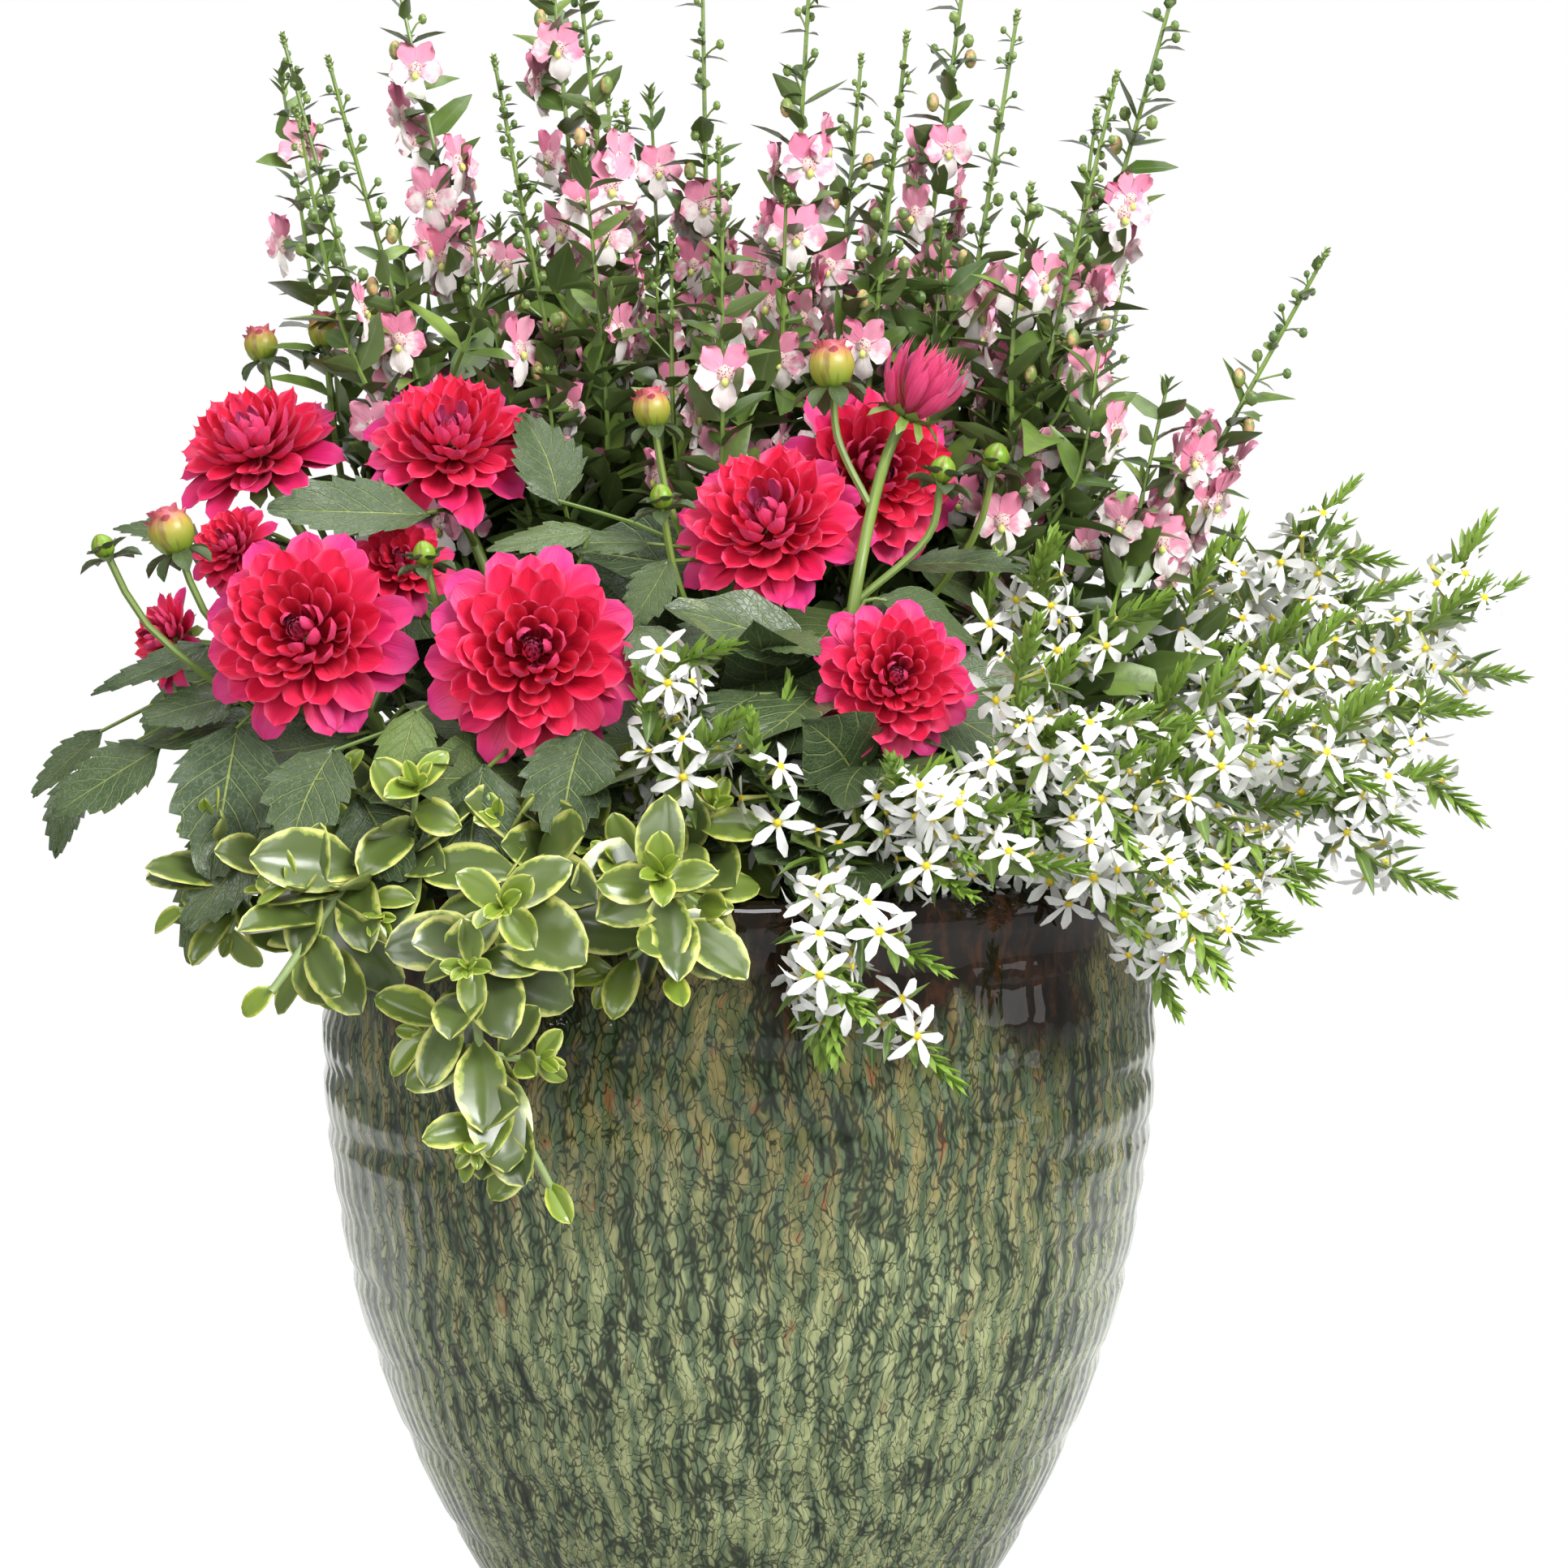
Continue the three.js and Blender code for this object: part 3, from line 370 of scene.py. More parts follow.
class Growth:
    """The parts of one plant, gathered and made into one mesh at the end."""

    def __init__(self):
        self.parts = []

    def add(self, points, shape, finish=0, tint=0.5, rank=0.5):
        self.parts.append((np.asarray(points), shape, finish, tint, rank))

    def make(self, name, finishes, slot, *nodes):
        mesh = bpy.data.meshes.new(name)
        points = np.vstack([p for p, *_ in self.parts]) * MM
        counts = [len(p) for p, *_ in self.parts]
        starts = np.concatenate([[0], np.cumsum(counts)[:-1]])
        corners, sizes, paints = [], [], []
        for (_, shape, finish, _, _), start in zip(self.parts, starts):
            for faces in (shape.quads, shape.threes):
                corners.append((faces + start).ravel())
                sizes.append(np.full(len(faces), faces.shape[1]))
                paints.append(np.full(len(faces), finish))
        corners, sizes, paints = (np.concatenate(x) for x in (corners, sizes, paints))
        mesh.vertices.add(len(points))
        mesh.vertices.foreach_set("co", points.ravel())
        mesh.loops.add(len(corners))
        mesh.loops.foreach_set("vertex_index", corners)
        mesh.polygons.add(len(sizes))
        mesh.polygons.foreach_set("loop_start", np.concatenate([[0], np.cumsum(sizes)[:-1]]))
        mesh.polygons.foreach_set("material_index", paints)
        mesh.update(calc_edges=True)
        grain = np.stack([
            np.concatenate([s.u * 0.5 + 0.5 for _, s, *_ in self.parts]),
            np.concatenate([s.v for _, s, *_ in self.parts]),
        ], 1)
        mesh.uv_layers.new(name="growth").data.foreach_set("uv", grain[corners].ravel())
        piece = bpy.data.objects.new(name, mesh)
        bpy.context.scene.collection.objects.link(piece)
        add_numbers(piece, "side", np.concatenate([s.side for _, s, *_ in self.parts]))
        add_numbers(piece, "tint", np.repeat([t for *_, t, _ in self.parts], counts))
        add_numbers(piece, "rank", np.repeat([r for *_, r in self.parts], counts))
        for finish in finishes:
            mesh.materials.append(finish)
        bpy.ops.object.select_all(action="DESELECT")
        piece.select_set(True)
        bpy.context.view_layer.objects.active = piece
        bpy.ops.object.shade_smooth_by_angle(angle=math.radians(50))
        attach(piece, "root")
        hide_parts(*nodes)


def grow_bed():
    """The filled-in bed of soil, its top raised and hollowed a little."""
    side = [(r, 0, z) for r, z in SOIL_PROFILE]
    rings = [(r, 0, SOIL_TOP) for r in range(170, 0, -8)]
    bed = model_profile([(0, 0, SOIL_PROFILE[0][1]), *side, *rings, (0, 0, SOIL_TOP)], SOIL_STEPS)
    points = np.array([v.co for v in bed.data.vertices]) / MM
    top = points[:, 2] > SOIL_TOP - 1
    rough = np.array([noise.fractal(Vector(p) * 0.05, 1.0, 2.0, 4) for p in points])
    points[:, 2] += np.where(top, 3.4 * rough, 0)
    shape, _ = take_shape(bed, side=np.ones(len(points)))
    return points, shape


def ball_shape(segments, rings):
    bpy.ops.object.select_all(action="DESELECT")
    bpy.ops.mesh.primitive_uv_sphere_add(segments=segments, ring_count=rings, radius=1)
    shape, points = take_shape(bpy.context.object, side=np.ones(segments * (rings - 1) + 2))
    shape.u = np.arctan2(points[:, 1], points[:, 0]) / math.pi
    shape.v = (points[:, 2] + 1) / 2
    return shape, points


soil = Growth()
soil.add(*grow_bed())
chance = np.random.default_rng(11)
crumb_shape, crumb_points = ball_shape(6, 4)
for _ in range(CRUMBS):
    reach, turn = 172 * math.sqrt(chance.random()), chance.uniform(0, 2 * math.pi)
    size = chance.uniform(1.2, 3.6) * chance.uniform(0.6, 1.2, 3)
    crumb = crumb_points * size * chance.uniform(0.8, 1.2, (len(crumb_points), 1))
    place = np.array([reach * math.cos(turn), reach * math.sin(turn), SOIL_TOP + 1])
    soil.add(crumb + place, crumb_shape, 0, chance.random())
earth = Finish("potting_soil", Roughness=0.95, Specular_IOR_Level=0.2)
grain = earth.noise(earth.place(), 420.0, 5.0, 0.7)
lumps = earth.noise(earth.place(), 90.0, 3.0, 0.6)
dark = earth.mix(earth.fit(grain, 0.35, 0.7), (0.012, 0.008, 0.005), (0.07, 0.042, 0.024))
earth.shine(Base_Color=earth.mix(earth.fit(lumps, 0.55, 0.75, 0.0, 0.6), dark, (0.10, 0.06, 0.032)))
earth.shine(Normal=earth.bump(grain, 0.002))
soil.make("soil_bed", [earth.material], "soil", "soil")


# Dahlia stems
# Nine hollow green stems rise from one rootstock and fork near the top. Each carries toothed leaves on
# short stalks, and buds on side branches that still wait to open.
DAHLIAS = [
    {
        "base": (-104, -20),
        "bloom": {"at": (-219, -20, 564), "faces": (-0.25, -0.6, 0.76), "radius": 39, "young": 0.8},
        "branches": [
            {"from": 0.5, "at": (-223, 32, 607), "bud": 8},
            {"from": 0.6, "at": (-194, 36, 613), "bud": 8.5},
            {"from": 0.35, "at": (-226, -52, 521), "bloom": {"faces": (-0.3, -0.8, 0.5), "radius": 23}},
        ],
    },
    {
        "base": (-62, -48),
        "bloom": {"at": (-127, -60, 566), "faces": (0.05, -0.75, 0.66), "radius": 40, "young": 0.9},
        "branches": [
            {"from": 0.4, "at": (-148, -84, 514), "bloom": {"faces": (0.1, -0.9, 0.4), "radius": 25}},
        ],
    },
    {
        "base": (-112, -82),
        "bloom": {"at": (-182, -140, 485), "faces": (-0.14, -0.95, 0.26), "radius": 46, "young": 0.0},
        "branches": [
            {"from": 0.42, "at": (-241, -112, 521), "bud": 10},
            {"from": 0.34, "at": (-270, -122, 519), "bud": 5},
            {"from": 0.22, "at": (-252, -66, 480), "bloom": {"faces": (-0.75, -0.5, 0.1), "radius": 25}},
        ],
    },
    {
        "base": (-52, -112),
        "bloom": {"at": (-85, -160, 478), "faces": (0.08, -0.96, 0.22), "radius": 46, "young": 0.0},
        "branches": [{"from": 0.5, "at": (-131, -140, 516), "bud": 5}],
    },
    {
        "base": (8, -62),
        "bloom": {"at": (15, -110, 531), "faces": (-0.16, -0.82, 0.52), "radius": 42, "young": 0.7},
        "branches": [
            {"from": 0.5, "at": (-36, -86, 575), "bud": 8.5},
            {"from": 0.4, "at": (-31, -128, 540), "bud": 5},
        ],
    },
    {
        "base": (52, -118),
        "bloom": {"at": (67, -152, 467), "faces": (0.12, -0.96, 0.22), "radius": 35, "young": 0.1},
        "branches": [],
    },
    {
        "base": (58, -22),
        "bloom": {"at": (60, -48, 553), "faces": (0.3, -0.88, 0.1), "radius": 42, "young": 0.4},
        "branches": [{"from": 0.5, "at": (114, -62, 556), "bud": 6}],
    },
    {
        "base": (34, -88),
        "way": (52, -136, 508),
        "bloom": {
            "at": (76, -97, 583), "faces": (0.45, -0.2, 0.86),
            "radius": 22, "young": 1.0, "cupped": True,
        },
        "branches": [
            {"from": 0.8, "at": (42, -108, 592), "bud": 10},
            {"from": 0.62, "at": (88, -124, 551), "bud": 5.5},
        ],
    },
    {
        "base": (-84, 66),
        "bloom": {"at": (-150, 92, 541), "faces": (-0.5, 0.45, 0.72), "radius": 40, "young": 0.5},
        "branches": [],
    },
]
# The large leaves: the stem that carries each, its base and tip, and its width.
DAHLIA_LEAVES = [
    (2, (-230, -95, 480), (-280, -117, 464), 20),
    (2, (-218, -108, 458), (-256, -128, 452), 28),
    (2, (-250, -112, 436), (-297, -126, 412), 34),
    (2, (-214, -128, 448), (-222, -168, 388), 44),
    (3, (-168, -160, 440), (-185, -192, 398), 34),
    (2, (-158, -166, 420), (-136, -196, 390), 34),
    (2, (-194, -148, 410), (-236, -166, 366), 27),
    (2, (-290, -84, 424), (-302, -94, 386), 18),
    (0, (-284, -62, 440), (-314, -80, 414), 18),
    (0, (-228, -100, 402), (-238, -130, 346), 28),
    (3, (-104, -180, 444), (-106, -206, 388), 40),
    (1, (-134, -92, 536), (-200, -116, 546), 30),
    (4, (-78, -82, 540), (-96, -62, 584), 30),
    (3, (-60, -128, 530), (-106, -138, 526), 20),
    (4, (-36, -112, 524), (-92, -142, 526), 20),
    (4, (-28, -124, 518), (-48, -142, 490), 20),
    (3, (-42, -148, 490), (-22, -168, 466), 24),
    (4, (-2, -122, 492), (-28, -152, 468), 28),
    (5, (14, -140, 486), (34, -168, 482), 24),
    (5, (12, -148, 462), (-26, -178, 444), 26),
    (3, (-134, -160, 456), (-142, -188, 424), 24),
    (6, (72, -96, 514), (122, -134, 518), 20),
    (0, (-242, -44, 534), (-284, -34, 546), 22),
    (3, (-62, -172, 448), (-70, -204, 404), 38),
    (0, (-196, 40, 520), (-238, 62, 500), 34),
    (8, (-170, 60, 470), (-222, 96, 440), 38),
    (8, (-110, 120, 480), (-130, 166, 446), 38),
    (0, (-232, 10, 470), (-286, 20, 430), 36),
]
ROOT_DEPTH = 24
DAHLIA_STEM = 2.6
DAHLIA_TWIG = 1.7
DAHLIA_STEPS = 7
CALYX_BACK = 0.22
LEAF_STALK = 1.1
FILLING_LEAVES = 30
LOWEST_TIP = 352
WIDEST_TIP = 300
UP = np.array([0.0, 0.0, 1.0])


class Twig:
    """A stem or branch: a smooth line through points, and its radius."""

    def __init__(self, points, radius, divisions=60):
        self.line, self.radius = SmoothLine(points, divisions), radius

    def at(self, share):
        return self.line.at(share)[0]

    def along(self, share):
        low, high = max(0, share - 0.01), min(1, share + 0.01)
        return unit(self.at(high) - self.at(low))


class Stem(Twig):
    """A plant's main stem: a straight root in the soil, then its smooth line."""

    def __init__(self, base, way, steps, radius, node):
        self.low = np.array([*base, SOIL_TOP - ROOT_DEPTH], float)
        self.rise = np.array([*base, SOIL_TOP + 2], float)
        super().__init__([self.rise, *way], radius, 200)
        self.steps = steps
        self.marks = cad_marks(node)

    def step_point(self, step):
        if step <= 1:
            return self.low + (self.rise - self.low) * step
        return self.at(min(1, (step - 1) / (self.steps - 1)))

    def facet(self, share):
        """Place and direction on the plain faceted stem of the solid model."""
        step = min(1 + share * (self.steps - 1), self.steps - 1e-6)
        whole = math.floor(step)
        here, there = self.step_point(whole), self.step_point(whole + 1)
        return here + (there - here) * (step - whole), unit(there - here)


def cad_marks(node):
    return np.array([v.co for v in frame["nodes"][node].data.vertices]) / MM


def near_mark(marks, point, within=0.6):
    return np.min(np.linalg.norm(marks - point, axis=1)) < within


def turned(vector, axis, angle):
    c, s = math.cos(angle), math.sin(angle)
    return vector * c + np.cross(axis, vector) * s + axis * (np.dot(axis, vector) * (1 - c))


def set_at(root, along, face):
    """Where a blade stands: its root, and its directions across, along and up from its face."""
    y = unit(np.asarray(along, float))
    x = np.cross(y, face)
    if np.linalg.norm(x) < 1e-6:
        x = np.cross(y, (0.3, 0.8, 0.5))
    x = unit(x)
    return np.asarray(root, float), np.stack([x, y, np.cross(x, y)])


def put(local, stand):
    root, axes = stand
    return root + local @ axes


def add_blade(plant, blank, form, thick, stand, finish, tint, rank=0.5):
    plant.add(put(blade(blank, form, thick), stand), blank, finish, tint, rank)


def tube_shape(rows, sides):
    around = np.tile(np.linspace(-1, 1, sides, endpoint=False), rows)
    along = np.repeat(np.linspace(0, 1, rows), sides)
    quads = [
        (r * sides + i, r * sides + (i + 1) % sides, (r + 1) * sides + (i + 1) % sides, (r + 1) * sides + i)
        for r in range(rows - 1) for i in range(sides)
    ]
    last = rows * sides
    ends = [((i + 1) % sides, i, last) for i in range(sides)]
    ends += [(last - sides + i, last - sides + (i + 1) % sides, last + 1) for i in range(sides)]
    return Shape([*around, 0, 0], [*along, 0, 1], np.ones(last + 2), quads, ends)


tube_shapes = {}


def tube(points, radii, sides=7):
    """A round stem through points, with its own radius at each."""
    points = np.asarray(points, float)
    radii = np.broadcast_to(radii, len(points))
    ahead = unit(np.gradient(points, axis=0))
    side = np.cross(ahead[0], (0.21, 0.94, 0.27))
    rows = []
    for here, way, radius in zip(points, ahead, radii):
        side = unit(side - way * np.dot(side, way))
        up = np.cross(way, side)
        turn = np.linspace(0, 2 * math.pi, sides, endpoint=False)[:, None]
        rows.append(here + radius * (np.cos(turn) * side + np.sin(turn) * up))
    shape = tube_shapes.setdefault((len(points), sides), tube_shape(len(points), sides))
    return np.vstack([*rows, points[:1], points[-1:]]), shape


def blade_blank(across, along):
    """A flat blade, to be bent to each leaf or petal: two faces that meet at its edge."""
    bpy.ops.object.select_all(action="DESELECT")
    bpy.ops.mesh.primitive_grid_add(x_subdivisions=across, y_subdivisions=along, size=2)
    bpy.ops.object.mode_set(mode="EDIT")
    bpy.ops.mesh.select_all(action="SELECT")
    bpy.ops.mesh.extrude_region_move(TRANSFORM_OT_translate={"value": (0, 0, 0)})
    bpy.ops.mesh.select_less()
    bpy.ops.transform.translate(value=(0, 0, 0.1))
    bpy.ops.mesh.select_all(action="SELECT")
    bpy.ops.mesh.remove_doubles(threshold=0.001)
    bpy.ops.object.mode_set(mode="OBJECT")
    shape, points = take_shape(bpy.context.object)
    on_edge = np.maximum(np.abs(points[:, 0]), np.abs(points[:, 1])) > 0.999
    shape.side = np.where(on_edge, 0, np.where(points[:, 2] > 0.05, 1, -1))
    return shape


def blade(blank, form, thick):
    """The points of a blank bent to a form and given its thickness."""
    small = 1e-3
    here = form(blank.u, blank.v)
    across = form(blank.u + small, blank.v) - here
    back = np.where(blank.v > 0.5, -small, small)
    along = (form(blank.u, blank.v + back) - here) * np.sign(back)[:, None]
    out = np.cross(across, along)
    out /= np.maximum(np.linalg.norm(out, axis=1, keepdims=True), 1e-12)
    full = thick * (1 - 0.6 * np.abs(blank.u) ** 4)
    return here + out * (blank.side * full / 2)[:, None]


# Width of a dahlia leaf along its length, and the number and lean of its side veins.
LEAF_ALONG = [0, 0.04, 0.14, 0.34, 0.55, 0.75, 0.9, 1]
LEAF_WIDTH = [0.04, 0.2, 0.72, 1, 0.9, 0.6, 0.3, 0.03]
LEAF_VEINS = 7
LEAF_VEIN_LEAN = 0.31


def dahlia_leaf(length, width, chance, droop=0.12):
    teeth, first = chance.uniform(6.0, 8.0), chance.uniform(0, 1)
    lean, curl, twist = chance.uniform(-0.06, 0.06), chance.uniform(-0.9, 1.3), chance.normal() * 0.3

    def form(u, v):
        reach = np.abs(u)
        tooth = ((v * teeth + first) % 1.0) * smooth(0.04, 0.16, v) * (1 - smooth(0.94, 1.0, v))
        half = width / 2 * np.interp(v, LEAF_ALONG, LEAF_WIDTH) * (0.94 + 0.25 * (tooth - 0.4) * reach**3)
        x = u * half + lean * length * np.sin(v * 3)
        y = length * (v + 0.05 * tooth * reach**3)
        rib = np.exp(-((u / 0.14) ** 2))
        quilt = np.cos((v - LEAF_VEIN_LEAN * reach) * 2 * math.pi * LEAF_VEINS) * reach * (1.1 - 0.6 * reach)
        edge_wave = 0.05 * half * np.sin(v * 15 + first * 6) * reach**2
        z = -droop * length * v**2 + half * (0.16 * curl * reach**1.5) + twist * x * v
        return np.stack([x, y, z + edge_wave - 0.8 * rib + 0.026 * width * quilt * smooth(0.02, 0.2, v)], -1)

    return form


leaf_blank = blade_blank(8, 28)
back_leaf_blank = blade_blank(4, 9)
bud_shape, bud_ball = ball_shape(16, 11)
sepal_blank = blade_blank(4, 6)


def sepal(length, width, cup=0.5):
    def form(u, v):
        half = width / 2 * np.interp(v, [0, 0.2, 0.6, 0.85, 1], [0.3, 0.55, 1, 0.72, 0.08])
        z = cup * half * u**2 - 0.5 * length * v * (v - 1) * 0.6 - 0.10 * length * v**3
        return np.stack([u * half, v * length, z], -1)

    return form


def grow_bud(plant, at, size, along, chance):
    """A round bud in its cup of sepals, its petals just showing on a large one."""
    root, axes = set_at(at, along, (0.3, 1, 0.2))
    turn = bud_shape.u * math.pi
    folds = 1 + 0.045 * np.cos(turn * 8) * smooth(0.1, 0.5, bud_shape.v)
    local = bud_ball[:, [0, 2, 1]] * [1, 1.12, -1]
    local[:, [0, 2]] *= folds[:, None] * (1 - 0.16 * smooth(0.6, 1, bud_shape.v))[:, None]
    open_share = 1.0 if size > 7 else 0.0
    plant.add(root + (local * size + [0, size * 0.9, 0]) @ axes, bud_shape, 2, chance.random(), open_share)
    if size > 7:
        for i in range(11):
            lap = i * 2.4
            tall = size * (1.5 if i % 2 else 1.8)
            side = np.array([math.cos(lap), 0, math.sin(lap)]) @ axes
            low = root + (np.array([0, 0.2, 0]) * size) @ axes + side * size * 0.62
            lean = unit(axes[1] * 1.0 + side * (0.16 if i % 2 else 0.02))
            stand = set_at(low, lean, -side)
            add_blade(plant, sepal_blank, sepal(tall, size, 0.9), 0.7, stand, 2, chance.random(), 1.0)
    rings = [(6, 1.7, 0.95, -0.5, 0.9)] if size > 7 else [(5, 2.1, 1.5, 0.55, 0.9), (5, 2.7, 1.7, -0.1, 1.2)]
    for ring, (count, long, wide, lift, cup) in enumerate(rings):
        for i in range(count):
            lap = (i + 0.5 * ring) / count * 2 * math.pi + chance.uniform(-0.2, 0.2)
            side = np.array([math.cos(lap), 0, math.sin(lap)]) @ axes
            lean = unit(side + axes[1] * (lift + chance.uniform(-0.25, 0.25)))
            form = sepal(size * long * chance.uniform(0.85, 1.1), size * wide, cup * 0.5)
            low = root + side * size * 0.15 - axes[1] * ring * 2
            stand = set_at(low, lean, axes[1])
            add_blade(plant, sepal_blank, form, 0.8, stand, 0, 0.5 + 0.4 * chance.random(), 0.9)


def bloom_seat(at, faces, radius):
    axis = unit(np.array(faces, float))
    seat = np.array(at) - axis * (CALYX_BACK * radius + 0.35)
    return axis, seat, seat - axis * 14


blooms = []
for number, dahlia in enumerate(DAHLIAS):
    bloom = dahlia["bloom"]
    axis, seat, behind = bloom_seat(bloom["at"], bloom["faces"], bloom["radius"])
    foot = np.array([*dahlia["base"], SOIL_TOP])
    middle = np.array(dahlia["way"]) if "way" in dahlia else foot + (behind - foot) * 0.55 + [0, 0, 10]
    node = f"dahlia_stem_{number + 1}"
    dahlia["stem"] = Stem(dahlia["base"], [middle, behind, seat], DAHLIA_STEPS, DAHLIA_STEM, node)
    blooms.append({"node": f"dahlia_bloom_{number + 1}", **bloom})
    for letter, branch in zip("abc", dahlia["branches"]):
        if "bloom" in branch:
            node = f"dahlia_bloom_{number + 1}_{letter}"
            blooms.append({"node": node, "at": branch["at"], "small": True, "young": 0.3, **branch["bloom"]})


# The eye of the picture, across and up, and how far it stands in front of the pot.
VIEW_POINT = np.array([20.8, 558.0])
VIEW_AWAY = 1730


def hits_bloom(points, share=0.9):
    """True if any of the points lies in a bloom."""
    for bloom in blooms:
        axis = unit(np.array(bloom["faces"], float))
        away = points - np.array(bloom["at"], float)
        deep = away @ axis / bloom["radius"]
        wide = np.linalg.norm(away - np.outer(away @ axis, axis), axis=1) / bloom["radius"]
        if np.any((deep > -0.3) & (deep < 0.75) & (wide < share)):
            return True
    return False


def covers_bloom(points):
    """True if any of the points hides a bloom from the front."""
    for bloom in blooms:
        middle = np.array(bloom["at"], float)
        nearer = points[:, 1] < middle[1] + 10
        shrink = VIEW_AWAY / (VIEW_AWAY + points[:, 1])
        spot = VIEW_POINT + (points[:, [0, 2]] - VIEW_POINT) * shrink[:, None]
        target = VIEW_POINT + (middle[[0, 2]] - VIEW_POINT) * VIEW_AWAY / (VIEW_AWAY + middle[1])
        if np.any(nearer & (np.linalg.norm(spot - target, axis=1) < bloom["radius"] * 0.95)):
            return True
    return False


# Leaves stay clear of the pot's wall and lip, and of the soil inside them.
WALL_INSIDE = 176
WALL_OUTSIDE = 197
LIP_CLEAR = 380
SOIL_CLEAR = 349
SOIL_REACH = 190


def hits_pot(points):
    reach = np.hypot(points[:, 0], points[:, 1])
    in_wall = (reach > WALL_INSIDE) & (reach < WALL_OUTSIDE) & (points[:, 2] < LIP_CLEAR)
    below = (points[:, 2] < SOIL_CLEAR) & (reach < SOIL_REACH)
    return np.any(in_wall | below)


def leaf_on_stalk(plant, start, base, tip, width, chance, blank, face=None):
    """A leaf blade from base to tip, on a stalk that bends up to it from its stem."""
    base, tip = np.asarray(base, float), np.asarray(tip, float)
    along = tip - base
    length = np.linalg.norm(along)
    inside = base + along * 0.05
    line = SmoothLine([start, start + (base - start) * 0.55 + [0, 0, 8], inside])
    stand = set_at(base, along, UP + [0, -0.8, 0] if face is None else face)
    points = put(blade(blank, dahlia_leaf(length, width, chance), 0.7), stand)
    stalk = tube(line.at(np.linspace(0, 1, 7)), np.linspace(LEAF_STALK * 1.25, LEAF_STALK * 0.8, 7), 6)
    plant.add(points, blank, 0, chance.random(), chance.random())
    plant.add(*stalk, 1, chance.random())


for number, dahlia in enumerate(DAHLIAS):
    stem, plant, chance = dahlia["stem"], Growth(), np.random.default_rng(100 + number)
    way = [stem.low, *stem.line.at(np.linspace(0, 1, 26))]
    plant.add(*tube(way, np.linspace(DAHLIA_STEM * 1.25, DAHLIA_STEM * 0.95, 27), 9), 1, chance.random())
    for letter, branch in zip("abc", dahlia["branches"]):
        start = stem.facet(branch["from"])[0]
        tip = np.array(branch["at"], float)
        if "bloom" in branch:
            axis, seat, behind = bloom_seat(tip, branch["bloom"]["faces"], branch["bloom"]["radius"])
            twig = SmoothLine([start, behind, seat])
        else:
            twig = SmoothLine([start, tip - [0, 0, 18] + (start - tip + [0, 0, 18]) * 0.12, tip])
            grow_bud(plant, tip, branch["bud"], unit(twig.at(1)[0] - twig.at(0.97)[0]), chance)
        plant.add(*tube(twig.at(np.linspace(0, 1, 12)), DAHLIA_TWIG, 7), 1, chance.random())
    for owner, base, tip, width in DAHLIA_LEAVES:
        if owner != number:
            continue
        places = [stem.facet(share)[0] for share in (0.1, 0.18, 0.26, 0.34, 0.42, 0.5, 0.6, 0.7, 0.8)]
        start = min(places, key=lambda p: np.linalg.norm(p - np.array(base) + [0, 0, 25]))
        for lift in (0, 10, -10, 18, -18, 28):
            low, high = np.array(base) + [0, 0, lift], np.array(tip) + [0, 0, lift * 1.3]
            root, axes = set_at(low, high - low, UP + [0, -0.8, 0])
            length = np.linalg.norm(high - low)
            if near_mark(stem.marks, root + axes[1] * length - axes[2] * 0.12 * length):
                break
        else:
            low, high = np.array(base, float), np.array(tip, float)
        leaf_on_stalk(plant, start, low, high, width * 1.12, chance, leaf_blank)
    grown, tries = 0, 0
    while grown < FILLING_LEAVES and tries < 500:
        tries += 1
        share = chance.uniform(0.03, 0.86)
        start = stem.at(share)
        turn = chance.uniform(0, 2 * math.pi)
        spread = unit(np.array([start[0], start[1], 0]))
        out = unit(np.array([math.cos(turn), math.sin(turn), 0]) + 0.45 * spread)
        base = start + out * chance.uniform(12, 34) + [0, 0, chance.uniform(2, 22)]
        length = chance.uniform(44, 78)
        tip = base + unit(out + [0, 0, chance.uniform(-0.7, 0.45)]) * length
        check = base + np.linspace(-0.4, 1, 7)[:, None] * (tip - base)
        if hits_bloom(check, 1.0) or covers_bloom(check) or hits_pot(check):
            continue
        if tip[2] < LOWEST_TIP or np.hypot(tip[0], tip[1]) > WIDEST_TIP:
            continue
        face = UP * chance.uniform(0.2, 1) + out * 0.5 + [0, -0.6, 0]
        width = length * chance.uniform(0.5, 0.66)
        leaf_on_stalk(plant, start, base, tip, width, chance, back_leaf_blank, face)
        grown += 1
    dahlia["plant"] = plant

leaf_green = Finish("dahlia_leaf_green", Roughness=0.36, Specular_IOR_Level=0.5)
grown_at = leaf_green.grain()
across, along, _ = leaf_green.split(grown_at)
off_rib = leaf_green.off_middle(across)
midrib = leaf_green.fit(off_rib, 0.008, 0.022, 0.9, 0.0)
leaned = leaf_green.minus(along, leaf_green.times(off_rib, 2 * LEAF_VEIN_LEAN))
ladder = leaf_green.times(leaned, LEAF_VEINS)
rung = leaf_green.unsigned(leaf_green.minus(leaf_green.fraction(ladder), 0.5))
side_vein = leaf_green.fit(rung, 0.02, 0.085, 0.85, 0.0)
tint = leaf_green.number("tint")
net_place = leaf_green.stretch(grown_at, (9.0, 15.0, 1.0))
net = leaf_green.fit(leaf_green.cells(leaf_green.warp(net_place, 3.0, 0.3), 1.6), 0.02, 0.12, 0.22, 0.0)
mottle = leaf_green.noise(leaf_green.place(), 60.0, 3.0)
top = leaf_green.mix(tint, (0.024, 0.050, 0.018), (0.070, 0.110, 0.036))
top = leaf_green.mix(leaf_green.fit(mottle, 0.35, 0.7, 0.0, 0.5), top, (0.085, 0.118, 0.058))
top = leaf_green.mix(leaf_green.fit(tint, 0.88, 0.98), top, (0.11, 0.17, 0.035))
top = leaf_green.mix(leaf_green.larger(net, side_vein), top, (0.19, 0.25, 0.095))
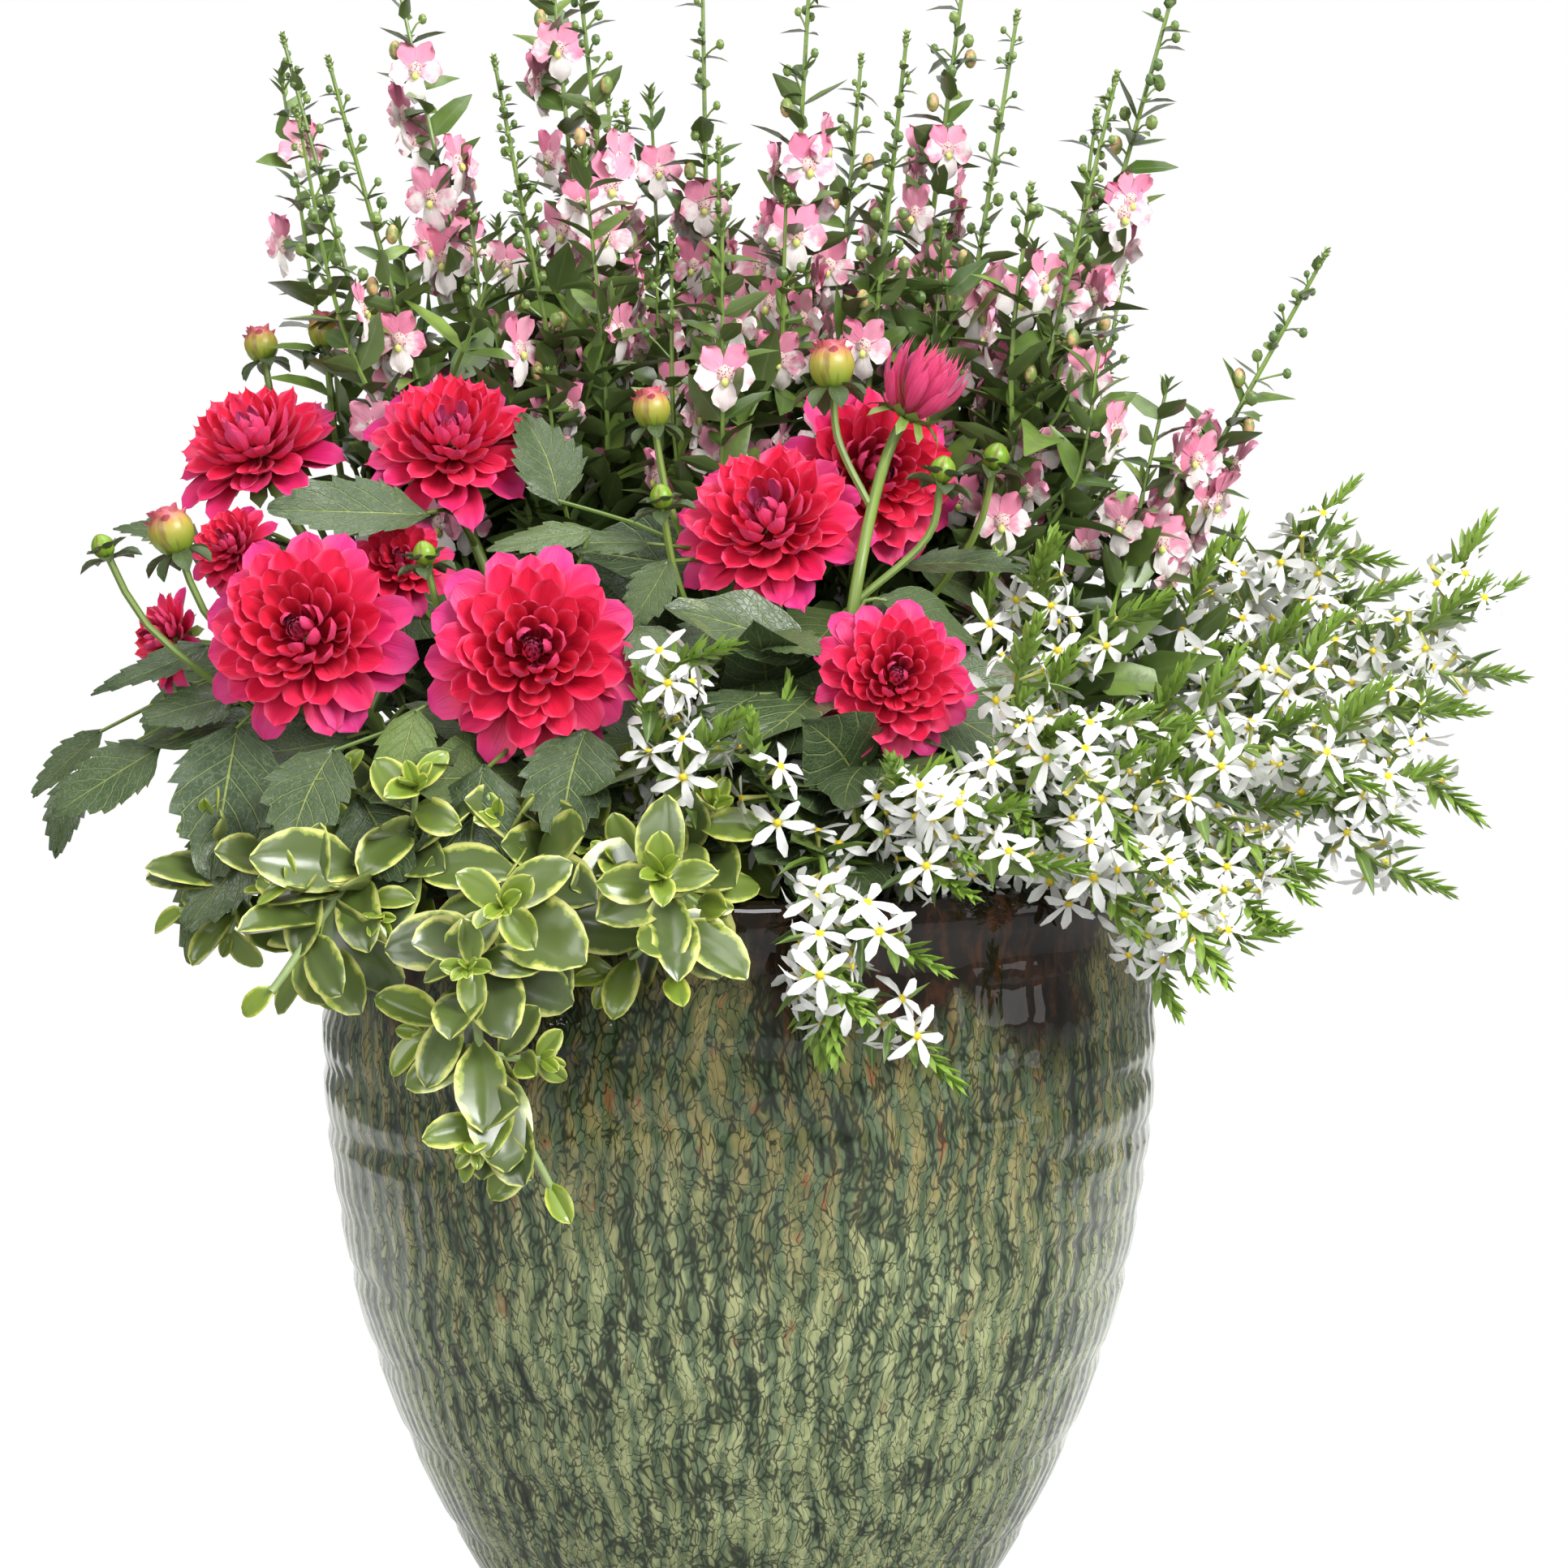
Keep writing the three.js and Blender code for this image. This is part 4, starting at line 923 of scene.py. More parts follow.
top = leaf_green.mix(midrib, top, (0.22, 0.27, 0.08))
veins = leaf_green.larger(midrib, side_vein)
under = leaf_green.mix(veins, (0.10, 0.135, 0.045), (0.18, 0.23, 0.09))
facing = leaf_green.upper_side()
leaf_green.shine(Base_Color=leaf_green.mix(facing, under, top))
relief = leaf_green.minus(leaf_green.times(mottle, 0.4), veins)
leaf_green.shine(Normal=leaf_green.bump(leaf_green.minus(relief, net), 0.0009, 0.9))

stem_green = Finish("dahlia_stem_green", Roughness=0.4)
length_way = stem_green.stretch(stem_green.grain(), (30.0, 3.0, 1.0))
lines = stem_green.noise(length_way, 1.0, 3.0)
young = stem_green.mix(stem_green.number("tint"), (0.13, 0.20, 0.035), (0.20, 0.28, 0.05))
old = stem_green.fit(lines, 0.4, 0.65, 0.0, 0.6)
stem_green.shine(Base_Color=stem_green.mix(old, young, (0.07, 0.12, 0.03)))
stem_green.shine(Normal=stem_green.bump(lines, 0.0003, 0.5))

bud_skin = Finish("dahlia_bud", Roughness=0.35)
bud_way = bud_skin.grain()
_, bud_along, _ = bud_skin.split(bud_way)
seams = bud_skin.noise(bud_skin.stretch(bud_way, (16.0, 1.2, 1.0)), 1.0, 3.0)
green = bud_skin.mix(bud_skin.number("tint"), (0.16, 0.30, 0.02), (0.30, 0.40, 0.03))
gold = bud_skin.mix(bud_skin.fit(bud_along, 0.1, 0.7), (0.20, 0.30, 0.025), (0.42, 0.33, 0.06))
opening = bud_skin.mix(bud_skin.fit(bud_along, 0.55, 0.95), gold, (0.50, 0.07, 0.12))
skin = bud_skin.mix(bud_skin.number("rank"), green, opening)
bud_skin.shine(Base_Color=bud_skin.mix(bud_skin.fit(seams, 0.48, 0.62, 0.0, 0.6), skin, (0.16, 0.07, 0.02)))

finishes = [leaf_green.material, stem_green.material, bud_skin.material]
for number, dahlia in enumerate(DAHLIAS):
    node = f"dahlia_stem_{number + 1}"
    dahlia["plant"].make(f"dahlia_leafy_stem_{number + 1}", finishes, "dahlia_leaf", node)


# Dahlia blooms
# Formal double flowers: spooned petals overlap in a spiral from a tight dark heart to a backswept outer
# ring, scarlet pink with magenta edges. A cup of green bracts holds each at its back.
GOLDEN_TURN = 2.39996
petal_blank = blade_blank(6, 6)
bract_blank = blade_blank(2, 3)
DOME_REACH = [0, 0.12, 0.3, 0.45, 0.66, 0.84, 1.0]
DOME_HEIGHT = [0.50, 0.55, 0.58, 0.54, 0.38, 0.13, -0.15]


def petal_form(radius, turn, root, bow, tip, width, cup, point):
    """A spooned petal in its bloom: across follows the ring, along leads from root to tip."""
    out = np.array([math.cos(turn), math.sin(turn), 0])
    across = np.array([math.sin(turn), -math.cos(turn), 0])
    root, bow, tip = (np.array(p) * radius for p in (root, bow, tip))

    def form(u, v):
        v = 1 - (1 - v[:, None]) ** 1.5
        line = (1 - v) ** 2 * root + 2 * v * (1 - v) * bow + v**2 * tip
        ahead = unit(2 * (1 - v) * (bow - root) + 2 * v * (tip - bow))
        face = np.stack([-ahead[:, 1], ahead[:, 0]], 1)
        v = v[:, 0]
        blunt = np.clip((v - 0.62) / 0.38, 0, 1)
        round_end = np.sqrt(np.maximum(1 - blunt**3.2, 0.03))
        half = width * radius / 2 * np.where(v < 0.62, 0.38 + 0.62 * smooth(0, 0.62, v), round_end)
        bend = cup * (1.25 - 0.75 * v)
        sideways = np.sin(u * bend) / bend * half
        up = (1 - np.cos(u * bend)) / bend * half
        up = up + 0.05 * half * np.cos(u * 9) * v - 0.12 * half * blunt * u**2
        shift = point * radius * (1 - np.abs(u)) ** 2 * smooth(0.8, 1.0, v)
        flat = line + face * up[:, None] + ahead * shift[:, None]
        return flat[:, :1] * out + flat[:, 1:] * UP + sideways[:, None] * across

    return form


def grow_bloom(bloom, chance):
    radius, cupped, is_small = bloom["radius"], bloom.get("cupped"), bloom.get("small")
    if not is_small and not cupped:
        radius *= 1.05
    flower = Growth()
    root, axes = set_at(bloom["at"], np.cross(np.array(bloom["faces"], float), (1, 0, 0)), bloom["faces"])
    count = 34 if cupped else 50 if is_small else 70
    for k in range(count):
        share = (k + 0.6) / count
        turn = k * GOLDEN_TURN + chance.normal() * 0.09
        reach = 0.05 + 0.98 * share**0.68 + chance.normal() * 0.022
        tall = np.interp(reach, DOME_REACH, DOME_HEIGHT) + chance.normal() * 0.03
        low = (0.06 + 0.10 * share, 0.20 - 0.36 * share)
        tip = (reach, tall)
        arch = np.interp(share, [0, 0.3, 0.7, 1], [-0.30, -0.24, -0.10, 0.12]) + chance.normal() * 0.03
        width = 0.15 + 0.29 * share**0.40
        cup = np.interp(share, [0, 0.1, 0.35, 1], [2.3, 1.9, 1.6, 1.25])
        point = chance.uniform(0.0, 0.03) + 0.05 * bloom["young"]
        if cupped:
            reach = 0.12 + 0.80 * share**0.8
            tip = (reach, np.interp(share, [0, 0.4, 0.8, 1], [1.15, 1.2, 0.98, 0.55]))
            low = (0.05 + 0.12 * share, 0.05 - 0.24 * share)
            arch, width, point = -0.20 * share - 0.05, 0.20 + 0.22 * share, 0.22
            cup = 1.5 - 0.5 * share
        away = np.array([tip[0] - low[0], tip[1] - low[1]])
        middle = (np.array(low) + np.array(tip)) / 2 + np.array([-away[1], away[0]]) * arch * 1.6
        form = petal_form(radius, turn, low, middle, tip, width * chance.uniform(0.9, 1.1), cup, point)
        thick = 0.5 if radius > 30 else 0.4
        add_blade(flower, petal_blank, form, thick, (root, axes), 0, chance.random(), share)
    high = 0.62 if cupped else 0.16
    for k in range(16):
        part = (k + 0.5) / 16
        low, tip = (0.03 + 0.03 * part, high), (0.02 + 0.085 * part, high + 0.30 - 0.04 * part)
        middle = (0.10 + 0.05 * part, high + 0.16)
        form = petal_form(radius, k * GOLDEN_TURN, low, middle, tip, 0.12, 1.4, 0.05)
        add_blade(flower, bract_blank, form, 0.4, (root, axes), 0, chance.random(), 0.03)
    for i in range(16):
        turn, outer = i * GOLDEN_TURN, i >= 8
        low = (0.08, -0.215)
        tip = (0.5, -0.38) if outer else (0.42, -0.20)
        middle = (0.34, -0.19 if outer else -0.26)
        if cupped:
            tip, middle = ((0.85, -0.45), (0.6, -0.08)) if outer else ((0.66, 0.05), (0.5, -0.3))
        form = petal_form(radius, turn, low, middle, tip, 0.24 if outer else 0.3, 0.7, 0.03)
        add_blade(flower, bract_blank, form, 0.6, (root, axes), 1, 0.6 + 0.4 * chance.random(), 0.9)
    heart = bud_ball * [0.07, 0.07, 0.16] * radius + [0, 0, (high + 0.12) * radius]
    flower.add(put(heart, (root, axes)), bud_shape, 0, 0.2, 0.0)
    cup_points = bud_ball * [0.2, 0.2, 0.1] * radius + [0, 0, -0.14 * radius]
    flower.add(put(cup_points, (root, axes)), bud_shape, 1, 0.6, 0.5)
    petal = petal_opening if cupped else petal_young if bloom["young"] > 0.6 else petal_red
    name = bloom["node"].replace("bloom", "flower")
    flower.make(name, [petal.material, stem_green.material], "dahlia_petal", bloom["node"])


def petal_finish(name, heart, heart_end, deep, bright, foot):
    petal = Finish(name, Roughness=0.45, Specular_IOR_Level=0.35, Sheen_Weight=0.15, Sheen_Roughness=0.4)
    petal.shine(Sheen_Tint=(1.0, 0.45, 0.6, 1.0))
    way = petal.grain()
    across, along, _ = petal.split(way)
    edge = petal.times(petal.off_middle(across), 2.0)
    rank = petal.number("rank")
    nerves = petal.noise(petal.stretch(way, (22.0, 1.3, 1.0)), 1.0, 3.0, 0.6)
    cloud = petal.noise(petal.place(), 45.0, 2.0)
    body = petal.mix(petal.number("tint"), deep, bright)
    body = petal.mix(petal.fit(rank, 0.15, 0.7, 0.4, 0.0), body, (0.92, 0.036, 0.062))
    # Paler pink toward the edges and tip: partly the petal's own pale margin and partly a painted highlight
    # on its rolled edges.
    rim_place = petal.plus(edge, petal.fit(cloud, 0.3, 0.7, -0.15, 0.15))
    pale_rim_and_highlight = petal.times(petal.fit(rim_place, 0.55, 1.0, 0.0, 0.8), petal.fit(along, 0.35, 0.9))
    body = petal.mix(pale_rim_and_highlight, body, (0.90, 0.12, 0.26))
    toward_tip = petal.fit(petal.plus(along, cloud), 0.7, 1.4)
    outer = petal.times(petal.fit(rank, 0.62, 0.95), toward_tip)
    body = petal.mix(petal.times(outer, 0.85), body, (0.50, 0.016, 0.19))
    body = petal.mix(petal.fit(nerves, 0.48, 0.75, 0.0, 0.4), body, (0.58, 0.004, 0.034))
    # Toward its root each petal turns to the foot colour. On the scarlet petals this is a dark crimson
    # painted shade where the petals overlap; on the opening ones it is their yellowish base.
    body = petal.mix(petal.fit(along, 0.08, 0.58, 0.90, 0.0), body, foot)
    body = petal.mix(petal.fit(rank, heart_end * 0.3, heart_end, 1.0, 0.0), body, heart)
    back = petal.mix(petal.fit(nerves, 0.4, 0.7), (0.62, 0.030, 0.13), (0.70, 0.09, 0.22))
    facing = petal.upper_side()
    petal.shine(Base_Color=petal.mix(facing, back, body))
    petal.shine(Normal=petal.bump(nerves, 0.0006, 0.6))
    return petal


# The last scarlet colour is the dark crimson painted shade at the petal roots.
SCARLET = [(0.84, 0.012, 0.068), (0.92, 0.032, 0.110), (0.34, 0.001, 0.018)]
petal_red = petal_finish("dahlia_petal_scarlet", (0.30, 0.012, 0.060), 0.07, *SCARLET)
petal_young = petal_finish("dahlia_petal_young", (0.58, 0.08, 0.24), 0.12, *SCARLET)
LILAC = [(0.66, 0.09, 0.26), (0.80, 0.25, 0.46), (0.45, 0.34, 0.08)]
petal_opening = petal_finish("dahlia_petal_opening", (0.62, 0.12, 0.30), 0.05, *LILAC)
for number, bloom in enumerate(blooms):
    grow_bloom(bloom, np.random.default_rng(200 + number))


# Angelonia spikes
# Eighteen upright stems with narrow toothed leaves in pairs, flowers like small snapdragons up the
# spike, pink above and white on the lip, and round green buds to the tip.
ANGELONIAS = [
    ((-116, 34), (-211, 20, 755), (0.62, 0.66, 0)),
    ((-92, 6), (-184, -30, 739), (0.42, 0.72, 3)),
    ((-74, 30), (-160, 40, 784), (0.66, 0.9, 3)),
    ((-44, -4), (-110, -24, 740), (0.58, 0.62, 0)),
    ((-52, 62), (-89, 60, 792), (0.68, 0.92, 3)),
    ((-32, 26), (-75, 10, 796), (0.55, 0.78, 4)),
    ((-12, 62), (-18, 70, 792), (0.6, 0.76, 3)),
    ((-10, -14), (-8, -60, 700), (0.32, 0.62, 3)),
    ((10, 20), (33, 0, 788), (0.55, 0.82, 4)),
    ((26, 78), (58, 90, 753), (0.6, 0.8, 2)),
    ((38, 8), (76, -30, 750), (0.4, 0.68, 3)),
    ((54, 46), (107, 60, 796), (0.62, 0.82, 3)),
    ((70, 14), (129, 26, 766), (0.45, 0.7, 4)),
    ((90, -18), (171, -24, 733), (0.34, 0.56, 3)),
    ((96, 18), (204, 20, 788), (0.45, 0.78, 4)),
    ((116, -8), (270, 0, 655), (0.5, 0.72, 4)),
    ((-64, 104), (-112, 150, 700), (0.5, 0.8, 3)),
    ((98, 84), (182, 130, 668), (0.5, 0.8, 3)),
]
ANGELONIA_STEM = 1.9
ANGELONIA_STEPS = 4
ROOT_SUNK = 0.3
SMALL_TURNS = [0, 0.35, -0.35, 0.7, -0.7, 1.1, -1.1]
ANGELONIA_REACH = 17
FLOWER_TUBE = 13
narrow_blank = blade_blank(2, 4)
small_blank = blade_blank(2, 3)
lobe_blank = blade_blank(4, 4)
bead_shape, bead = ball_shape(6, 4)
throat_shape, throat_ball = ball_shape(8, 6)


def stand_out(stem, at, along, turn, lean):
    side = unit(np.cross(along, (1, 0, 0) if abs(along[2]) > 0.9 else UP))
    out = turned(side, along, turn)
    aim = unit(out + lean * along)
    face = np.cross(np.cross(aim, UP), aim)
    return set_at(at - out * stem.radius * ROOT_SUNK, aim, face if face @ face > 0.01 else out)


def matched(stem, share, turn, lean, length, arch=0.0):
    """Where the solid model's own leaf or flower stands, or None where it has none."""
    at, along = stem.facet(share)
    for extra in SMALL_TURNS:
        root, axes = stand_out(stem, at, along, turn + extra, lean)
        if near_mark(stem.marks, root + axes[1] * length - axes[2] * arch * length):
            return stem.at(share) - at + root, axes
    return None


def narrow_leaf(length, width, arch, chance, teeth=0.0, cup=0.5):
    sway, first = chance.normal() * 0.06, chance.random()

    def form(u, v):
        body = np.sin(math.pi * np.clip(v, 0, 1) ** 0.75) ** 0.85
        half = width / 2 * (0.06 + 0.94 * body) * (1 + teeth * (((v * 6 + first) % 1) - 0.5) * np.abs(u))
        x = u * half + sway * length * v**2
        return np.stack([x, v * length, -arch * length * v**2 + cup * half * np.abs(u) ** 1.4], -1)

    return form


def angelonia_lobe(turn, reach, width, curl, frill=4.0):
    """One round lobe of the flower's face, which lies square to the tube."""
    way, across = np.array([math.cos(turn), math.sin(turn)]), np.array([-math.sin(turn), math.cos(turn)])

    def form(u, v):
        v = 1 - (1 - v) ** 1.4
        half = width / 2 * np.interp(v, [0, 0.25, 0.6, 0.85, 1], [0.5, 0.72, 1, 0.84, 0.36])
        r = 2.6 + (reach - 2.6) * v + 0.07 * reach * np.cos(u * 2.2) * v
        lift = -curl * reach * v**2 + 0.11 * reach * np.sin(u * frill + v * 3) * v + 0.12 * half * u**2
        flat = r[:, None] * way + (u * half)[:, None] * across
        return np.stack([flat[:, 0], lift, flat[:, 1]], -1)

    return form


def angelonia_flower(plant, stand, chance, scale=1.0):
    """Five lobes round a speckled throat on a short tube. Its face looks along the stand."""
    root, axes = stand
    middle = root + axes[1] * FLOWER_TUBE * scale
    reach = ANGELONIA_REACH * scale
    spread = chance.uniform(0.88, 1.02)
    lobes = [(-90, 1.0, 0.72, 0.28, 1.0), (-10, 0.84, 0.80, 0.04, 0.45), (190, 0.84, 0.80, 0.04, 0.45)]
    lobes += [(60, 0.94, 0.66, -0.10, 0.0), (120, 0.94, 0.66, -0.10, 0.0)]
    for degrees, share, width, curl, rank in lobes:
        turn = math.radians(degrees + chance.normal() * 5)
        form = angelonia_lobe(turn, reach * share * spread, reach * width, curl + chance.normal() * 0.08)
        add_blade(plant, lobe_blank, form, 0.45, (middle, axes), 1, chance.random(), rank)
    throat = bead[:, [0, 2, 1]] * [4.4, 2.6, -4.8] * scale + [0, -0.2, 0]
    plant.add(put(throat, (middle, axes)), bead_shape, 2, chance.random(), 0.0)
    tongue = bead[:, [0, 2, 1]] * [2.0, 1.6, -2.4] * scale + [0, 1.7 * scale, -4.0 * scale]
    plant.add(put(tongue, (middle, axes)), bead_shape, 2, chance.random(), 1.0)
    line = [root, root + axes[1] * 7 * scale, middle - axes[1] * 0.5]
    plant.add(*tube(line, np.array([0.55, 1.6, 3.6]) * scale, 5), 0, 0.3)


def small_bud(plant, twig, share, turn, size, stalk, chance):
    """A round bud on a thin stalk, in the angle of a small leaf."""
    at, along = twig.at(share), twig.along(share)
    root, axes = stand_out(twig, at, along, turn, chance.uniform(0.5, 1.5))
    bend = root + axes[1] * stalk * 0.6 + UP * stalk * 0.14
    end = root + axes[1] * stalk + UP * stalk * chance.uniform(-0.1, 0.25)
    plant.add(*tube([root, bend, end], [0.55, 0.45, 0.6], 4), 0, 0.75)
    ball = bead * [size, size, size * 1.12]
    plant.add(ball + end + axes[1] * size * 0.6, bead_shape, 3, chance.random(), min(1, size / 5))
    long = (3 + size * 4.2) * chance.uniform(0.7, 1.3)
    leaf = narrow_leaf(long, long * 0.5, chance.uniform(-0.2, 0.6), chance, 0.15, 0.25)
    stand = stand_out(twig, at, along, turn + chance.normal() * 0.3, chance.uniform(0.0, 0.8))
    add_blade(plant, small_blank, leaf, 0.5, stand, 0, chance.random() * 0.8)


def bud_pairs(plant, twig, first, chance, scale=1.0):
    """Pairs of buds, closer and smaller to the tip, which ends in a knot of the youngest."""
    place, turn = first, chance.uniform(0, 3)
    while place < 0.97:
        rest = (1 - place) / (1 - first)
        for half in (0, math.pi):
            if chance.random() < 0.85:
                size = (1.3 + 1.7 * rest) * scale * chance.uniform(0.75, 1.2)
                stalk = (3.0 + 10 * rest) * chance.uniform(0.7, 1.3)
                shift = chance.normal() * 1.5 / twig.line.length
                round_it = turn + half + chance.normal() * 0.4
                small_bud(plant, twig, place + shift, round_it, size, stalk, chance)
        place += (4.5 + 11 * rest) * chance.uniform(0.85, 1.15) / twig.line.length
        turn += 1.57
    for i in range(9):
        at, along = twig.at(1) - twig.along(1) * (8 - i) * 0.8, twig.along(0.99)
        stand = stand_out(twig, at, along, i * 2.4, 1.4)
        leaf = narrow_leaf(5.5 - 0.2 * i, 2.4, 0, chance)
        add_blade(plant, small_blank, leaf, 0.5, stand, 0, 0.93)
        plant.add(bead * 1.1 + stand[0] + stand[1][1] * 1.6, bead_shape, 3, 0.9, 0.2)


def leaf_pairs(plant, twig, first, last, gap, low_size, high_size, chance, fresh=0.0):
    """Opposite toothed leaves along a stretch of stem, each pair turned from the last."""
    pairs = max(1, int((last - first) * twig.line.length / gap))
    for i in range(pairs):
        share = first + (last - first) * i / pairs
        size = low_size + (high_size - low_size) * i / pairs
        for half in (0, math.pi):
            turn = i * 1.62 + half + chance.normal() * 0.35
            root, axes = stand_out(twig, twig.at(share), twig.along(share), turn, chance.uniform(0.3, 1.3))
            roll = chance.normal() * 0.75
            stand = root, np.array([turned(axes[0], axes[1], roll), axes[1], turned(axes[2], axes[1], roll)])
            long = size * chance.uniform(0.7, 1.12)
            width, arch = long * chance.uniform(0.36, 0.46), chance.uniform(-0.1, 0.5)
            leaf = narrow_leaf(long, width, arch, chance, 0.3, 0.3)
            points = put(blade(narrow_blank, leaf, 0.6), stand)
            if not hits_bloom(points):
                plant.add(points, narrow_blank, 0, min(1, chance.random() * 0.85 + fresh), 0.5)


def leafy_side_shoot(plant, stem, share, turn, length, chance, size=44):
    """A short side shoot with pairs of leaves and a fresh tuft at its tip."""
    at, along = stem.at(share), stem.along(share)
    root, axes = stand_out(stem, at, along, turn, 0.9)
    end = root + axes[1] * length + UP * length * 0.25
    twig = Twig([root, root + axes[1] * length * 0.5, end], 0.9)
    if hits_bloom(twig.line.at(np.linspace(0.3, 1, 5))):
        return
    plant.add(*tube(twig.line.at(np.linspace(0, 1, 4)), np.linspace(1.1, 0.7, 4), 5), 0, 0.6)
    leaf_pairs(plant, twig, 0.3, 1.0, 13, size, size * 0.55, chance)
    for i in range(5):
        stand = stand_out(twig, end, twig.along(0.99), i * 1.6, 2.2)
        leaf = narrow_leaf(size * 0.32, size * 0.09, -0.1, chance)
        add_blade(plant, small_blank, leaf, 0.5, stand, 0, 0.92)


def flowering_branch(plant, stem, share, turn, top, buds, chance, flowers=2):
    """A branch that climbs beside its stem, with leaves, a few flowers and a tip of buds."""
    at, along = stem.at(share), stem.along(share)
    root, axes = stand_out(stem, at, along, turn, 0.7)
    rise = top - root[2]
    lean = along * [1, 1, 0] * rise * 0.5
    middle = root + axes[1] * [1, 1, 0] * chance.uniform(22, 34) + lean + [0, 0, rise * 0.45]
    end = middle + axes[1] * [1, 1, 0] * chance.uniform(2, 12) + lean * 0.7 + [0, 0, rise * 0.55]
    twig = Twig([root, middle, end], 1.3)
    if hits_bloom(twig.line.at(np.linspace(0.05, 1, 14)), 1.0):
        return
    plant.add(*tube(twig.line.at(np.linspace(0, 1, 12)), np.linspace(1.5, 0.75, 12), 6), 0, 0.75)
    bare = chance.uniform(0.66, 0.8) if buds else 0.97
    leaf_pairs(plant, twig, 0.05, bare, 11, 42, 20, chance, 0.06)
    for i in range(flowers):
        here = bare - 0.36 + 0.34 * (i + chance.random()) / flowers
        stand = stand_out(twig, twig.at(here), twig.along(here), i * 2.4 + turn, 0.1)
        if not hits_bloom(np.array([stand[0] + stand[1][1] * 15])):
            angelonia_flower(plant, stand, chance, chance.uniform(0.82, 1.0))
    if buds:
        bud_pairs(plant, twig, bare, chance, 0.9)
        return
    for i in range(8):
        stand = stand_out(twig, twig.at(0.96 + 0.005 * i), twig.along(0.98), i * 2.4, 1.2 + 0.15 * i)
        leaf = narrow_leaf(13 - i, 3.2, 0.1, chance)
        add_blade(plant, small_blank, leaf, 0.5, stand, 0, 0.9)


angelonia_green = Finish("angelonia_green", Roughness=0.32, Specular_IOR_Level=0.5)
way = angelonia_green.grain()
across, along, _ = angelonia_green.split(way)
off_rib = angelonia_green.off_middle(across)
midrib = angelonia_green.fit(off_rib, 0.02, 0.07, 0.7, 0.0)
tint = angelonia_green.number("tint")
mottle = angelonia_green.noise(angelonia_green.place(), 160.0, 3.0)
green = angelonia_green.mix(tint, (0.050, 0.098, 0.018), (0.170, 0.265, 0.045))
green = angelonia_green.mix(angelonia_green.fit(tint, 0.62, 1.0), green, (0.21, 0.31, 0.050))
green = angelonia_green.mix(angelonia_green.fit(mottle, 0.4, 0.7, 0.0, 0.4), green, (0.055, 0.09, 0.032))
green = angelonia_green.mix(midrib, green, (0.12, 0.17, 0.055))
under = angelonia_green.mix(midrib, (0.10, 0.150, 0.045), (0.15, 0.20, 0.075))
facing = angelonia_green.upper_side()
angelonia_green.shine(Base_Color=angelonia_green.mix(facing, under, green))
angelonia_green.shine(Normal=angelonia_green.bump(mottle, 0.0005, 0.5))

angelonia_petal = Finish("angelonia_petal", Roughness=0.55, Specular_IOR_Level=0.3)
way = angelonia_petal.grain()
across, along, _ = angelonia_petal.split(way)
rank = angelonia_petal.number("rank")
cloud = angelonia_petal.noise(angelonia_petal.place(), 110.0, 3.0, 0.6)
nerves = angelonia_petal.noise(angelonia_petal.stretch(way, (16.0, 1.5, 1.0)), 1.0, 2.0)
pink = angelonia_petal.mix(angelonia_petal.number("tint"), (0.72, 0.20, 0.33), (0.78, 0.35, 0.46))
pink = angelonia_petal.mix(angelonia_petal.fit(nerves, 0.5, 0.75, 0.0, 0.5), pink, (0.66, 0.18, 0.36))
pale = (0.84, 0.78, 0.76)
uneven = angelonia_petal.fit(cloud, 0.3, 0.7, -0.3, 0.35)
whiteness = angelonia_petal.plus(angelonia_petal.times(rank, 1.2), uneven)
petals = angelonia_petal.mix(angelonia_petal.fit(whiteness, 0.25, 0.85), pink, pale)
angelonia_petal.shine(Base_Color=petals)
angelonia_petal.shine(Normal=angelonia_petal.bump(nerves, 0.0005, 0.5))

throat = Finish("angelonia_throat", Roughness=0.5)
specks = throat.cells(throat.place(), 900.0, "F1")
base = throat.mix(throat.fit(specks, 0.25, 0.42), (0.22, 0.03, 0.08), (0.66, 0.46, 0.42))
throat.shine(Base_Color=throat.mix(throat.fit(throat.number("rank"), 0.6, 0.9), base, (0.56, 0.60, 0.16)))

bud_green = Finish("angelonia_bud", Roughness=0.4)
ripe = bud_green.mix(bud_green.number("tint"), (0.07, 0.13, 0.03), (0.18, 0.26, 0.06))
patches = bud_green.fit(bud_green.noise(bud_green.place(), 200.0), 0.4, 0.6)
blush = bud_green.times(bud_green.fit(bud_green.number("rank"), 0.6, 0.9), patches)
bud_green.shine(Base_Color=bud_green.mix(blush, ripe, (0.60, 0.38, 0.18)))

